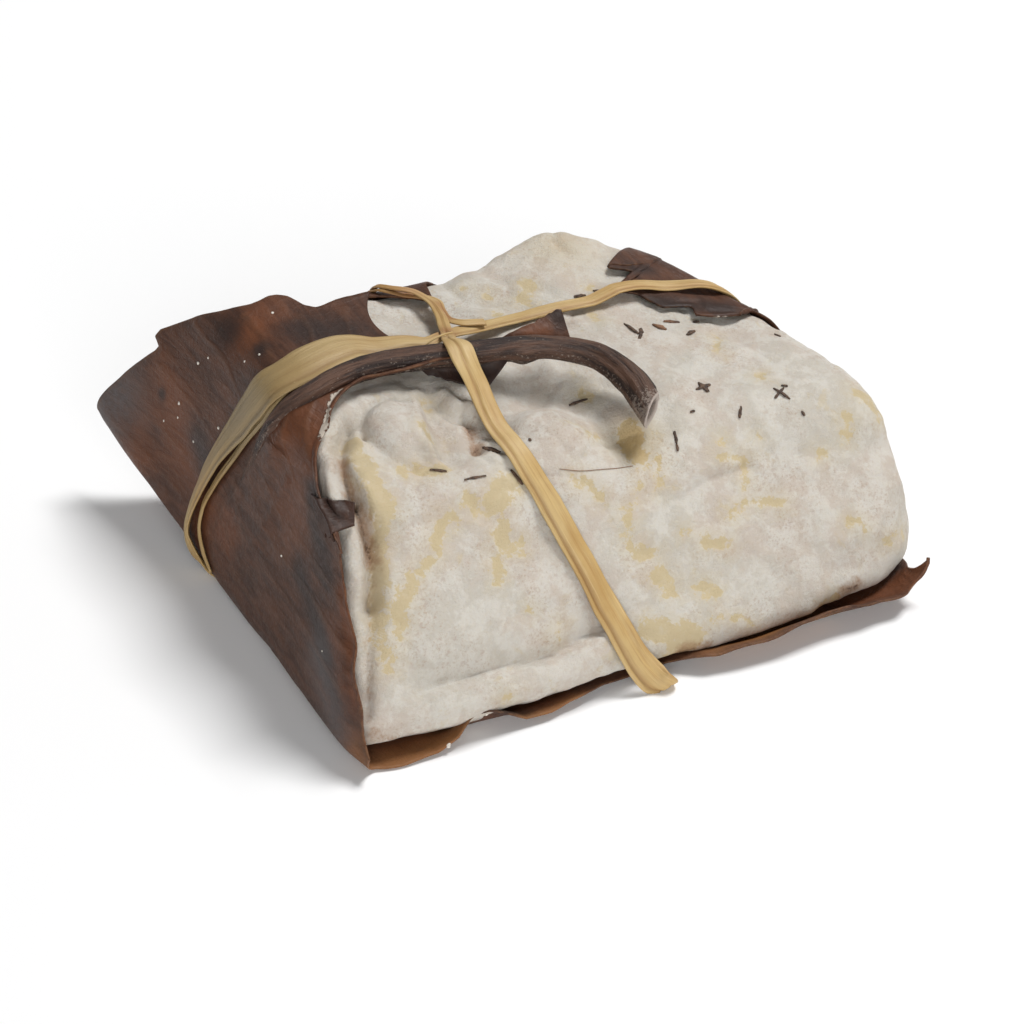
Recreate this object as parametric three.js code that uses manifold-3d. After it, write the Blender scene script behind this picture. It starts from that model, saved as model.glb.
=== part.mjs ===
// A small goat cheese, opened along its front, in a dried leaf that is tied crosswise with raffia.
// Millimetres. +X runs along the open front, +Y to the back, +Z up, and the parcel rests at z = 0.

import * as THREE from "three";
import { mergeVertices } from "three/addons/utils/BufferGeometryUtils.js";
import Module from "manifold-3d";

// Driving dimensions
const GAP = 0.3; // clear space between two pieces that touch
const LEAF_THICKNESS = 0.5;
const RAFFIA_THICKNESS = 0.35;
const RAFFIA_LIFT = 0.05; // the strands under the parcel stay this far above the floor
const CHEESE_UNDERSIDE = LEAF_THICKNESS + GAP;
const CHEESE_HEART = new THREE.Vector3(-3.6, -7, 13); // the cheese is star-shaped round this point
const CHEESE_SQUARENESS = 13; // higher makes the edges between the cheese's sides sharper
const BOX_MIDDLE = [-0.53, 0.49]; // middle of the whole parcel in plan, which becomes the origin

// The cheese's sides: azimuth in plan, rise above the horizontal, distance from the heart
const CHEESE_SIDES = [
  { azimuth: -91, rise: 35, distance: 15.9 }, // open front, leaning back
  { azimuth: -91, rise: 6, distance: 25.3 }, // foot of the open front
  { azimuth: -88, rise: 71, distance: 13.4 }, // upper front
  { azimuth: -34, rise: 84.5, distance: 13.5 }, // top
  { azimuth: 12.5, rise: 11, distance: 35.7 }, // right end
  { azimuth: -49, rise: 6, distance: 40.6 }, // right front corner
  { azimuth: 65, rise: -3.5, distance: 34.2 }, // right back
  { azimuth: 91, rise: 13, distance: 26.8 }, // back
  { azimuth: 140, rise: 16, distance: 34 }, // left back corner
  { azimuth: 175, rise: 11.5, distance: 29.9 }, // left end
];

// Swellings and hollows of the cheese: place, radius, height
const CHEESE_LUMPS = [
  { at: [12.2, 13.5, 28.8], radius: 7.5, height: 5.6 }, // hill at the back
  { at: [-19, -10, 26.4], radius: 5, height: 1.1 },
  { at: [-7.7, -14.6, 24.4], radius: 4.5, height: 0.9 },
  { at: [-27.5, -14, 24.5], radius: 4, height: 0.7 },
  { at: [-5.1, -7.7, 26.1], radius: 5.5, height: -2.4 }, // hollow under the stalk
  { at: [1.6, -11.8, 24.9], radius: 4.5, height: -1.2 },
  { at: [2.9, -18.2, 22.8], radius: 3.2, height: -1.8 }, // hollow below the stalk's end
  { at: [-12.9, -12.5, 25], radius: 3.2, height: -1.3 },
  { at: [32.9, -21.5, 18.4], radius: 3, height: 0.5 },
];

const degrees = THREE.MathUtils.degToRad;

function sideNormal({ azimuth, rise }) {
  const level = Math.cos(degrees(rise));
  return new THREE.Vector3(
    level * Math.cos(degrees(azimuth)),
    level * Math.sin(degrees(azimuth)),
    Math.sin(degrees(rise)),
  );
}

const sides = CHEESE_SIDES.map((side) => ({ normal: sideNormal(side), distance: side.distance }));
const lumps = CHEESE_LUMPS.map((lump) => ({ ...lump, at: new THREE.Vector3(...lump.at) }));

// Under the parcel the raffia presses two broad grooves, one along each strand
const RAFFIA_ROUTES_BELOW = [
  { from: [-36, 10.5], to: [36, 2] },
  { from: [-3.3, -33], to: [-2, 22] },
];
const GROOVE_HALF_WIDTHS = [4, 12]; // where a groove's flat floor ends, and where its side ends
const GROOVE_DEPTH = RAFFIA_LIFT + RAFFIA_THICKNESS + GAP;

function grooveAt(x, y) {
  const nearest = Math.min(
    ...RAFFIA_ROUTES_BELOW.map(({ from, to }) => {
      const along = [to[0] - from[0], to[1] - from[1]];
      const across = (x - from[0]) * along[1] - (y - from[1]) * along[0];
      return Math.abs(across) / Math.hypot(...along);
    }),
  );
  return GROOVE_DEPTH * (1 - THREE.MathUtils.smoothstep(nearest, ...GROOVE_HALF_WIDTHS));
}

// Distance from the heart to the cheese's surface along a unit direction.
// gap moves every side outwards, and taut keeps only the swellings, as for a skin stretched over it.
function cheeseRadius(direction, gap = 0, taut = false) {
  let sum = 0;
  for (const { normal, distance } of sides) {
    const facing = Math.max(0, normal.dot(direction));
    sum += (facing / (distance + gap)) ** CHEESE_SQUARENESS;
  }
  if (direction.z < 0) {
    const drop = CHEESE_HEART.z - CHEESE_UNDERSIDE;
    const x = CHEESE_HEART.x - (direction.x / direction.z) * drop;
    const y = CHEESE_HEART.y - (direction.y / direction.z) * drop;
    sum += (-direction.z / (drop - grooveAt(x, y) + gap)) ** CHEESE_SQUARENESS;
  }
  const plain = sum ** (-1 / CHEESE_SQUARENESS);
  const point = direction.clone().multiplyScalar(plain).add(CHEESE_HEART);
  let relief = 0;
  for (const { at, radius, height } of lumps) {
    if (taut && height < 0) continue;
    relief += height * Math.exp(-point.distanceToSquared(at) / radius ** 2);
  }
  return plain + relief;
}

// How far the middle of a chord between two places stands from the heart
function chordReach(a, b) {
  return a.clone().add(b).multiplyScalar(0.5).distanceTo(CHEESE_HEART);
}

// How far the middle of a chord lies from the cheese's surface
function chordError(a, b) {
  const direction = a.clone().add(b).multiplyScalar(0.5).sub(CHEESE_HEART).normalize();
  return Math.abs(cheeseRadius(direction) - chordReach(a, b));
}

// The grid that the cheese starts from: a box, its cells along X, Y and Z, and how strongly they
// crowd towards the box's edges
const CHEESE_GRID = {
  size: new THREE.Vector3(75, 55, 27),
  middle: new THREE.Vector3(0, -5, 14.5),
  cells: [26, 18, 14],
  crowding: 0.9,
};

// The cheese: a box whose subdivided faces are moved out or in to the surface
function cheeseGeometry() {
  const { size, middle, cells, crowding } = CHEESE_GRID;
  const box = new THREE.BoxGeometry(2, 2, 2, ...cells);
  const places = box.getAttribute("position");
  const crowd = (t) => Math.sin(t * crowding) / Math.sin(crowding);
  const point = new THREE.Vector3();
  for (let i = 0; i < places.count; i++) {
    point.fromBufferAttribute(places, i);
    point.set(crowd(point.x), crowd(point.y), crowd(point.z));
    point.multiply(size).multiplyScalar(0.5).add(middle).sub(CHEESE_HEART).normalize();
    point.multiplyScalar(cheeseRadius(point)).add(CHEESE_HEART);
    places.setXYZ(i, point.x, point.y, point.z);
  }
  // each quad is split along the diagonal that follows the surface better
  const corners = box.getIndex().array;
  const place = (i) => new THREE.Vector3().fromBufferAttribute(places, i);
  for (let quad = 0; quad < corners.length; quad += 6) {
    const [a, b, d, , c] = corners.slice(quad, quad + 5);
    const turned = chordError(place(a), place(c)) < chordError(place(b), place(d));
    if (turned) corners.set([a, b, c, a, c, d], quad);
  }
  return box;
}

// A smooth curve through places given as [station, x, y, z], as a function of the station
function guide(...places) {
  const at = places.map(([, ...xyz]) => new THREE.Vector3(...xyz));
  const stations = places.map(([station]) => station);
  const last = places.length - 1;
  const slopes = at.map((_, i) => {
    const before = Math.max(0, i - 1);
    const after = Math.min(last, i + 1);
    return at[after].clone().sub(at[before]).divideScalar(stations[after] - stations[before]);
  });
  return (station) => {
    let i = 0;
    while (i < last - 1 && station > stations[i + 1]) i++;
    const span = stations[i + 1] - stations[i];
    const t = (station - stations[i]) / span;
    return new THREE.Vector3()
      .addScaledVector(at[i], (1 + 2 * t) * (1 - t) ** 2)
      .addScaledVector(slopes[i], span * t * (1 - t) ** 2)
      .addScaledVector(at[i + 1], t * t * (3 - 2 * t))
      .addScaledVector(slopes[i + 1], span * t * t * (t - 1));
  };
}

// Moves a place of a leaf's middle surface out of the cheese, and above the floor.
// softness is how gently, in millimetres, the leaf leaves the cheese where it goes its own way.
function drapeOver(place, softness) {
  const direction = place.clone().sub(CHEESE_HEART);
  const own = direction.length();
  direction.divideScalar(own);
  const least = cheeseRadius(direction, GAP + LEAF_THICKNESS / 2, true);
  const radius = (own + least + Math.hypot(own - least, softness)) / 2;
  const draped = direction.multiplyScalar(radius).add(CHEESE_HEART);
  draped.z = Math.max(draped.z, LEAF_THICKNESS / 2 + grooveAt(draped.x, draped.y));
  return draped;
}

// A leaf: a closed thin solid round a middle surface, with both faces cut into the same triangles.
// The outer face is on the side that d/du x d/dv points to.
function sheetGeometry(surface, stations, steps) {
  const rows = stations.length;
  const columns = steps + 1;
  const middle = stations.map((u) =>
    Array.from({ length: columns }, (_, j) => surface(u, j / steps)),
  );
  const positions = [];
  for (const face of [0.5, -0.5]) {
    for (let i = 0; i < rows; i++) {
      for (let j = 0; j < columns; j++) {
        const du = middle[Math.min(i + 1, rows - 1)][j].clone().sub(middle[Math.max(i - 1, 0)][j]);
        const dv = middle[i][Math.min(j + 1, steps)].clone().sub(middle[i][Math.max(j - 1, 0)]);
        const normal = du.cross(dv).normalize();
        positions.push(...middle[i][j].clone().addScaledVector(normal, face * LEAF_THICKNESS));
      }
    }
  }
  const outer = (i, j) => i * columns + j;
  const inner = (i, j) => rows * columns + outer(i, j);
  const index = [];
  for (let i = 0; i < rows - 1; i++) {
    for (let j = 0; j < steps; j++) {
      const quad = [
        [i, j],
        [i + 1, j],
        [i + 1, j + 1],
        [i, j + 1],
      ];
      const [a, b, c, d] = quad.map(([row, column]) => middle[row][column]);
      const first = chordReach(a, c) > chordReach(b, d) ? 0 : 1;
      for (const corner of [1, 2]) {
        const triangle = [0, corner, corner + 1].map((k) => quad[(first + k) % 4]);
        index.push(...triangle.map(([row, column]) => outer(row, column)));
        index.push(...triangle.reverse().map(([row, column]) => inner(row, column)));
      }
    }
  }
  const rim = [];
  for (let i = 0; i < rows - 1; i++) rim.push([i, 0]);
  for (let j = 0; j < steps; j++) rim.push([rows - 1, j]);
  for (let i = rows - 1; i > 0; i--) rim.push([i, steps]);
  for (let j = steps; j > 0; j--) rim.push([0, j]);
  rim.forEach((from, k) => {
    const to = rim[(k + 1) % rim.length];
    index.push(outer(...to), outer(...from), inner(...from));
    index.push(outer(...to), inner(...from), inner(...to));
  });
  const geometry = new THREE.BufferGeometry();
  geometry.setAttribute("position", new THREE.Float32BufferAttribute(positions, 3));
  return geometry.setIndex(index);
}

// The wrapping leaf. Station 0 is its curled tip at the right, 5 the parcel's left bottom edge,
// 8 the left shoulder and 11 the end beside the knot. Three guides run the length of the leaf.
const WRAP_FRONT = guide(
  [0, 34.6, -33.3, 4.6],
  [0.6, 31.2, -33.6, 1.4],
  [1.2, 26.3, -33.2, 0.5],
  [2.4, 10, -33.3, 0.3],
  [3.2, -2, -32.1, 0.3],
  [4.2, -19.5, -32.6, 0.3],
  [4.8, -33, -33, 0.35],
  [5.1, -37.5, -31.4, 1],
  [5.8, -36.7, -29, 7.5],
  [6.9, -34.4, -22.5, 17],
  [7.5, -33.4, -16.5, 22.3],
  [8, -31.6, -10.5, 25.8],
  [8.6, -27.5, -5.5, 28.2],
  [9.3, -21.5, -2.7, 28.9],
  [11, -10.6, -3.2, 29.1],
);
const WRAP_MIDDLE = guide(
  [0, 34.9, -32.6, 4.4],
  [1.2, 30, -24, 0.3],
  [2.4, 10, -12, 0.3],
  [4.2, -20, -4, 0.3],
  [4.9, -34, 6, 0.4],
  [5.2, -35.6, 8, 1.6],
  [6, -34.4, 9, 8],
  [7.2, -32.2, 5, 20.5],
  [8, -30, 4.5, 27.3],
  [8.6, -26.5, 5, 29.2],
  [11, -13.4, 5, 28.9],
);
const WRAP_BACK = guide(
  [0, 35.3, -31.9, 4.3],
  [0.6, 37, -26, 2],
  [1.2, 35, -15, 0.3],
  [2.4, 14, 6, 0.3],
  [3.4, -8, 16, 0.4],
  [4.3, -24, 26, 3],
  [4.9, -35, 33.5, 8.5],
  [5.2, -37.8, 36.4, 10.6],
  [6.2, -35.2, 33.4, 16.1],
  [7, -33, 29.2, 21],
  [8, -30.2, 23.5, 26.5],
  [8.7, -27.5, 18.3, 29.4],
  [9.6, -22, 17, 29.9],
  [10.2, -18.5, 13.8, 29.6],
  [11, -11.8, 14.6, 29.5],
);
const WRAP_SCALLOP = { from: 6.2, length: 0.62, depth: 0.014 }; // the toothed margin of ear and top
const WRAP_SOFTNESS = 0.8;
const WRAP_STEPS = 18; // triangles' columns from the front margin to the back one
const WRAP_SPANS = [
  { to: 3.4, rows: 13 },
  { to: 6.2, rows: 20 }, // round the parcel's left bottom edge
  { to: 11, rows: 21 },
];

function wrapPoint(u, v) {
  const wave = Math.sin(((u - WRAP_SCALLOP.from) / WRAP_SCALLOP.length) * 2 * Math.PI);
  const toothed = THREE.MathUtils.smoothstep(u, WRAP_SCALLOP.from, WRAP_SCALLOP.from + 1);
  const w = v * (1 + toothed * WRAP_SCALLOP.depth * wave);
  const place = new THREE.Vector3()
    .addScaledVector(WRAP_FRONT(u), (1 - w) * (1 - 2 * w))
    .addScaledVector(WRAP_MIDDLE(u), 4 * w * (1 - w))
    .addScaledVector(WRAP_BACK(u), w * (2 * w - 1));
  return drapeOver(place, WRAP_SOFTNESS);
}

function wrapStations() {
  const stations = [0];
  for (const { to, rows } of WRAP_SPANS) {
    const from = stations.at(-1);
    for (let i = 1; i <= rows; i++) stations.push(from + ((to - from) * i) / rows);
  }
  return stations;
}

// The leaf's midrib, which climbs the left wall, leaves the blade beside the knot and ends as a
// free stalk. A closed tube of eight sides whose radius grows along the way.
const STALK_CURVE = new THREE.CatmullRomCurve3(
  [
    [-34.6, 8.3, 8],
    [-33.8, 6.6, 12.6],
    [-32.8, 2.6, 20],
    [-31.9, -1.4, 26.5],
    [-28.9, -2.6, 29.1],
    [-22, -1.5, 29.7],
    [-14.8, -2.2, 29.5],
    [-7.9, -3.7, 29.2],
    [-0.6, -5.6, 28.7],
    [4, -9.4, 27.9],
    [5.5, -14.6, 26.8],
    [5.3, -19.4, 25.3],
  ].map((xyz) => new THREE.Vector3(...xyz)),
);
const STALK_RADII = { start: 0.35, blade: 1.15, end: 1.6 };
const STALK_GROWTH = { blade: [0.1, 0.5], end: [0.7, 1] }; // shares of the length
const STALK_SIDES = 8;
const STALK_STEPS = 36;

function stalkGeometry() {
  const frames = STALK_CURVE.computeFrenetFrames(STALK_STEPS, false);
  const positions = [];
  for (let i = 0; i <= STALK_STEPS; i++) {
    const t = i / STALK_STEPS;
    const grown = THREE.MathUtils.smoothstep(t, ...STALK_GROWTH.blade);
    const flared = THREE.MathUtils.smoothstep(t, ...STALK_GROWTH.end);
    const radius =
      STALK_RADII.start +
      (STALK_RADII.blade - STALK_RADII.start) * grown +
      (STALK_RADII.end - STALK_RADII.blade) * flared;
    const heart = STALK_CURVE.getPointAt(t);
    for (let k = 0; k < STALK_SIDES; k++) {
      const turn = (k / STALK_SIDES) * 2 * Math.PI;
      const place = heart
        .clone()
        .addScaledVector(frames.normals[i], radius * Math.cos(turn))
        .addScaledVector(frames.binormals[i], radius * Math.sin(turn));
      positions.push(...place);
    }
  }
  const index = [];
  const at = (i, k) => i * STALK_SIDES + (k % STALK_SIDES);
  for (let i = 0; i < STALK_STEPS; i++) {
    for (let k = 0; k < STALK_SIDES; k++) {
      index.push(at(i, k), at(i, k + 1), at(i + 1, k + 1));
      index.push(at(i, k), at(i + 1, k + 1), at(i + 1, k));
    }
  }
  for (let k = 1; k < STALK_SIDES - 1; k++) {
    index.push(at(0, 0), at(0, k + 1), at(0, k));
    index.push(at(STALK_STEPS, 0), at(STALK_STEPS, k), at(STALK_STEPS, k + 1));
  }
  const geometry = new THREE.BufferGeometry();
  geometry.setAttribute("position", new THREE.Float32BufferAttribute(positions, 3));
  return geometry.setIndex(index);
}

// A scrap of blade that stands up from the stalk: a triangle with two corners on the stalk
const SCRAP_CORNERS = [
  [-4.4, -4, 29.5],
  [2.2, -6.4, 28.6],
  [3.9, -1.9, 30.5],
];

function scrapGeometry() {
  const [start, end, tip] = SCRAP_CORNERS.map((xyz) => new THREE.Vector3(...xyz));
  const along = end.clone().sub(start);
  const xAxis = along.clone().normalize();
  const zAxis = along.clone().cross(tip.clone().sub(start)).normalize();
  const yAxis = zAxis.clone().cross(xAxis);
  const rise = tip.clone().sub(start);
  const outline = new THREE.Shape([
    new THREE.Vector2(0, 0),
    new THREE.Vector2(along.length(), 0),
    new THREE.Vector2(rise.dot(xAxis), rise.dot(yAxis)),
  ]);
  const slab = new THREE.ExtrudeGeometry(outline, { depth: LEAF_THICKNESS, bevelEnabled: false });
  slab.translate(0, 0, -LEAF_THICKNESS / 2);
  return slab.applyMatrix4(new THREE.Matrix4().makeBasis(xAxis, yAxis, zAxis).setPosition(start));
}

// The second leaf, behind the cheese: its top margin shows as a strip beside the knot and as a
// dark flap over the right back edge. Station 0 is at the left, 10 at the right end.
const BACKING_TOP = guide(
  [0, -22, 16, 24],
  [1, -14, 15, 27],
  [1.4, -10.6, 14, 28.7],
  [2.3, -5.6, 10.3, 28.6],
  [2.9, -3.2, 16, 26.5],
  [4, 4, 19.5, 23.2],
  [5, 13, 20.5, 23],
  [5.7, 21, 17, 24.5],
  [6.1, 23.8, 12.8, 26.1],
  [6.5, 21.8, 8.4, 26.7],
  [6.8, 17.2, 7.2, 27.2],
  [7.2, 15.9, 2.6, 26.6],
  [7.6, 17.5, -1.2, 26.1],
  [8.1, 21, -3.6, 25.6],
  [8.6, 25, -4.4, 25],
  [9, 28.5, -4.5, 23],
  [9.5, 31.5, -6, 19.5],
  [10, 34, -8, 14],
);
const BACKING_BOTTOM = guide(
  [0, -22, 19, 8],
  [2.3, -7, 21, 4],
  [4, 3, 21, 2.2],
  [7, 24, 17, 2.2],
  [8.7, 33, 6, 2.4],
  [10, 34.5, -5, 3],
);

const BACKING_END = 10; // its last station
const BACKING_ROWS = 34;
const BACKING_STEPS = 12;
const BACKING_SOFTNESS = 0.3;
const BACKING_CROWDING = 1.5; // crowds the columns towards the top margin, where the leaf folds over

function backingPoint(u, v) {
  const place = BACKING_TOP(u).lerp(BACKING_BOTTOM(u), v ** BACKING_CROWDING);
  return drapeOver(place, BACKING_SOFTNESS);
}

const wasm = await Module();
wasm.setup();

function toSolid(geometry) {
  const bare = new THREE.BufferGeometry();
  bare.setAttribute("position", geometry.getAttribute("position"));
  bare.setIndex(geometry.getIndex());
  const welded = mergeVertices(bare, 1e-4);
  return new wasm.Manifold(
    new wasm.Mesh({
      numProp: 3,
      vertProperties: new Float32Array(welded.getAttribute("position").array),
      triVerts: new Uint32Array(welded.getIndex().array),
    }),
  );
}

function fuse(...geometries) {
  const whole = geometries.map(toSolid).reduce((sum, solid) => sum.add(solid));
  const mesh = whole.getMesh();
  const geometry = new THREE.BufferGeometry();
  geometry.setAttribute("position", new THREE.Float32BufferAttribute(mesh.vertProperties, 3));
  return geometry.setIndex(new THREE.BufferAttribute(mesh.triVerts, 1));
}

// The raffia: two strands round the parcel that meet in a knot on top.
// Each is a closed loop of places that it passes. It lies on whatever is outermost there, or
// hangs clear where the place itself is further out.
const STRAND_ACROSS = [
  [-9.9, 1.7, 29.6],
  [-15, 1.9, 29.9],
  [-20.2, 2.3, 30],
  [-26.4, 1.3, 29.9],
  [-31, 2.6, 27.8],
  [-32.8, 7, 21.2],
  [-34.6, 14, 11],
  [-36, 15.4, 5.5],
  [-36.4, 12.8, 2],
  [-34.5, 10.3, 0.2],
  [-15, 8, 0.2],
  [10, 5.1, 0.2],
  [30, 2.7, 0.2],
  [33.6, 2.2, 0.4],
  [35.4, 2, 2.2],
  [35, 2, 5],
  [33.6, 2, 15],
  [29.5, 1.5, 22.8],
  [25.5, 1.6, 25.4],
  [17.9, 3.9, 27],
  [7.3, 4.2, 27.2],
  [-3, 3.2, 28],
];
const STRAND_ALONG = [
  [-9.7, 1.9, 29.9],
  [-9.8, -3, 31],
  [-10.4, -8, 28.2],
  [-10.9, -13.2, 25.3],
  [-10.8, -18.2, 23.2],
  [-9.7, -21.8, 19.8],
  [-6.8, -28.6, 10],
  [-5.2, -31.8, 4.8],
  [-3.3, -35.7, 0.9],
  [-3.2, -32, 0.2],
  [-2.8, -12, 0.2],
  [-2.3, 10, 0.2],
  [-2, 19, 0.2],
  [-2, 21.9, 0.5],
  [-2, 23.7, 2.2],
  [-2, 22.8, 5],
  [-2.6, 21.5, 14],
  [-3.6, 17, 25],
  [-5, 12, 28.3],
  [-6.3, 7, 28.4],
];
const RAFFIA_STEPS = 76;
const RAFFIA_WIDTHS = { narrow: 2.2, front: 3.2, broad: 5.4 };
// A strand's lens-shaped section, as shares of its width and thickness
const RAFFIA_SECTION = [
  [-0.5, 0],
  [-0.25, -0.5],
  [0.25, -0.5],
  [0.5, 0],
  [0.25, 0.5],
  [-0.25, 0.5],
];
const FEEL_ACROSS = [-0.5, -0.25, 0, 0.25, 0.5]; // shares of the width at which a strand is felt
const FEEL_ALONG = [-2, -1, 0, 1, 2]; // half steps

const laidPieces = new THREE.Group();
const ray = new THREE.Raycaster();
const RAY_REACH = 90;

// The block's outward normal along a direction from the heart
function cheeseNormal(direction) {
  const normal = new THREE.Vector3();
  for (const side of sides) {
    const facing = Math.max(0, side.normal.dot(direction)) / side.distance;
    normal.addScaledVector(side.normal, facing ** (CHEESE_SQUARENESS - 1) / side.distance);
  }
  const drop = CHEESE_HEART.z - CHEESE_UNDERSIDE;
  normal.z -= (Math.max(0, -direction.z) / drop) ** (CHEESE_SQUARENESS - 1) / drop;
  return normal.normalize();
}

// The outermost point of the pieces already laid, seen from the heart towards a place
function touchBelow(place) {
  const direction = place.clone().sub(CHEESE_HEART).normalize();
  const start = CHEESE_HEART.clone().addScaledVector(direction, RAY_REACH);
  ray.set(start, direction.negate());
  return ray.intersectObject(laidPieces, true)[0].point;
}

// A closed ribbon along one strand. widthAt gives its width at a place of the loop's middle line.
function strandGeometry(places, widthAt) {
  const curve = new THREE.CatmullRomCurve3(
    places.map((xyz) => new THREE.Vector3(...xyz)),
    true,
  );
  const fine = 2 * RAFFIA_STEPS; // what lies below is felt twice per step
  const wrap = (i) => (i + fine) % fine;
  const path = Array.from({ length: fine }, (_, i) => curve.getPointAt(i / fine));
  const feelers = path.map((place, i) => {
    const normal = cheeseNormal(place.clone().sub(CHEESE_HEART).normalize());
    const along = path[wrap(i + 1)].clone().sub(path[wrap(i - 1)]);
    const across = along.cross(normal).normalize();
    const touches = FEEL_ACROSS.map((side) =>
      touchBelow(place.clone().addScaledVector(across, side * widthAt(place))),
    );
    return { place, normal, across, touches };
  });
  const positions = [];
  for (let i = 0; i < fine; i += 2) {
    const { place, normal, across } = feelers[i];
    const near = FEEL_ALONG.flatMap((k) => feelers[wrap(i + k)].touches);
    const clear = Math.max(...near.map((touch) => touch.clone().sub(place).dot(normal)));
    const lift = Math.max(0, clear + GAP + RAFFIA_THICKNESS / 2);
    const heart = place.clone().addScaledVector(normal, lift);
    heart.z = Math.max(heart.z, RAFFIA_LIFT + RAFFIA_THICKNESS / 2);
    for (const [side, out] of RAFFIA_SECTION) {
      const point = heart.clone().addScaledVector(across, side * widthAt(place));
      positions.push(...point.addScaledVector(normal, out * RAFFIA_THICKNESS));
    }
  }
  const index = [];
  const corners = RAFFIA_SECTION.length;
  const at = (i, k) => (i % RAFFIA_STEPS) * corners + (k % corners);
  for (let i = 0; i < RAFFIA_STEPS; i++) {
    for (let k = 0; k < corners; k++) {
      index.push(at(i, k), at(i + 1, k), at(i + 1, k + 1));
      index.push(at(i, k), at(i + 1, k + 1), at(i, k + 1));
    }
  }
  const geometry = new THREE.BufferGeometry();
  geometry.setAttribute("position", new THREE.Float32BufferAttribute(positions, 3));
  return geometry.setIndex(index);
}

// The strand across is broad and flat over the left shoulder
const SHOULDER = { at: new THREE.Vector3(-27, 2, 28), radius: 9 };

function acrossWidth(place) {
  const nearness = Math.exp(-place.distanceToSquared(SHOULDER.at) / SHOULDER.radius ** 2);
  return THREE.MathUtils.lerp(RAFFIA_WIDTHS.narrow, RAFFIA_WIDTHS.broad, nearness);
}

// The strand along is folded double over the open front
const FRONT_BEGINS = [-6, 2]; // along Y
function alongWidth(place) {
  const behind = THREE.MathUtils.smoothstep(place.y, ...FRONT_BEGINS);
  return THREE.MathUtils.lerp(RAFFIA_WIDTHS.front, RAFFIA_WIDTHS.narrow, behind);
}

// The knot is a flattened ball: half lengths, and its turn in plan
const KNOT = { at: [-9.7, 1.9, 29.9], size: [2.4, 2, 1.1], turn: -35, facets: [12, 8] };

function knotGeometry() {
  const knot = new THREE.SphereGeometry(1, ...KNOT.facets);
  return knot.scale(...KNOT.size).rotateZ(degrees(KNOT.turn)).translate(...KNOT.at);
}

function piece(name, geometry, material) {
  const mesh = new THREE.Mesh(geometry, new THREE.MeshStandardMaterial(material));
  mesh.name = name;
  return mesh;
}

const cheese = piece("cheese", cheeseGeometry(), { color: 0xe9e2d4, roughness: 0.75 });
const wrap = piece(
  "leaf_wrap",
  fuse(
    sheetGeometry(wrapPoint, wrapStations(), WRAP_STEPS),
    stalkGeometry(),
    scrapGeometry(),
  ),
  { color: 0x4b3024, roughness: 0.55 },
);
const backingStations = Array.from(
  { length: BACKING_ROWS + 1 },
  (_, i) => (i / BACKING_ROWS) * BACKING_END,
);
const backing = piece("leaf_back", sheetGeometry(backingPoint, backingStations, BACKING_STEPS), {
  color: 0x3d2c25,
  roughness: 0.6,
});
// The raffia is laid over what is there
for (const mesh of [cheese, wrap, backing]) {
  const laid = mesh.clone();
  laid.material = new THREE.MeshBasicMaterial({ side: THREE.DoubleSide });
  laidPieces.add(laid);
}
laidPieces.updateMatrixWorld(true);
const tie = piece(
  "raffia_tie",
  fuse(
    strandGeometry(STRAND_ACROSS, acrossWidth),
    strandGeometry(STRAND_ALONG, alongWidth),
    knotGeometry(),
  ),
  { color: 0xc0a066, roughness: 0.7 },
);

const parcel = new THREE.Group();
parcel.add(cheese, wrap, backing, tie);
parcel.position.set(-BOX_MIDDLE[0], -BOX_MIDDLE[1], 0);

export default parcel;
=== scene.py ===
import bpy
import numpy as np
from mathutils import Matrix, Vector
from mathutils.bvhtree import BVHTree


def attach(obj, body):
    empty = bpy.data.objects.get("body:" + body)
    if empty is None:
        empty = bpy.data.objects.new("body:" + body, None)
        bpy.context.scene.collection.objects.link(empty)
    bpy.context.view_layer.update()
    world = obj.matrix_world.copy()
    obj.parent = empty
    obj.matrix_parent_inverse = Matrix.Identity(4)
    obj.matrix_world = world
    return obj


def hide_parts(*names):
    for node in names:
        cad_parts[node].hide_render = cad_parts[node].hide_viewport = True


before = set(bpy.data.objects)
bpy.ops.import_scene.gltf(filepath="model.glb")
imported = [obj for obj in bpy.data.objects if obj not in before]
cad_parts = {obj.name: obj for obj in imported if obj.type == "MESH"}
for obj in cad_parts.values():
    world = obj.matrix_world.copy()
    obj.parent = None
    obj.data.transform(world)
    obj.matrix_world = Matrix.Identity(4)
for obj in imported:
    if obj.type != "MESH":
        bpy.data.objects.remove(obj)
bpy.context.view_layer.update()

# The table top that the parcel lies on: pale matt paper under a soft window light from the right and
# above, with a white reflector in front and the rest of the room as white fill, and the camera.
MILLIMETRE = 0.001


def linear(red, green, blue):
    """A display colour of 0 to 255 as linear light: the display curve's inverse, plus an alpha of one."""
    share = np.array([red, green, blue]) / 255
    light = np.where(share > 0.04045, ((share + 0.055) / 1.055) ** 2.4, share / 12.92)
    return (*light.tolist(), 1.0)


def wire(tree, kind, inputs=None, **settings):
    """A new shader node. Each input is a number, a colour or another node's output."""
    made = tree.nodes.new(kind)
    for name, value in settings.items():
        setattr(made, name, value)
    for name, value in (inputs or {}).items():
        if isinstance(value, bpy.types.NodeSocket):
            tree.links.new(value, made.inputs[name])
        else:
            made.inputs[name].default_value = value
    return made


def new_material(name):
    """An empty material: its node tree and its Principled shader."""
    material = bpy.data.materials.new(name)
    material.use_nodes = True
    tree = material.node_tree
    return material, tree, tree.nodes["Principled BSDF"]


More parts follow.
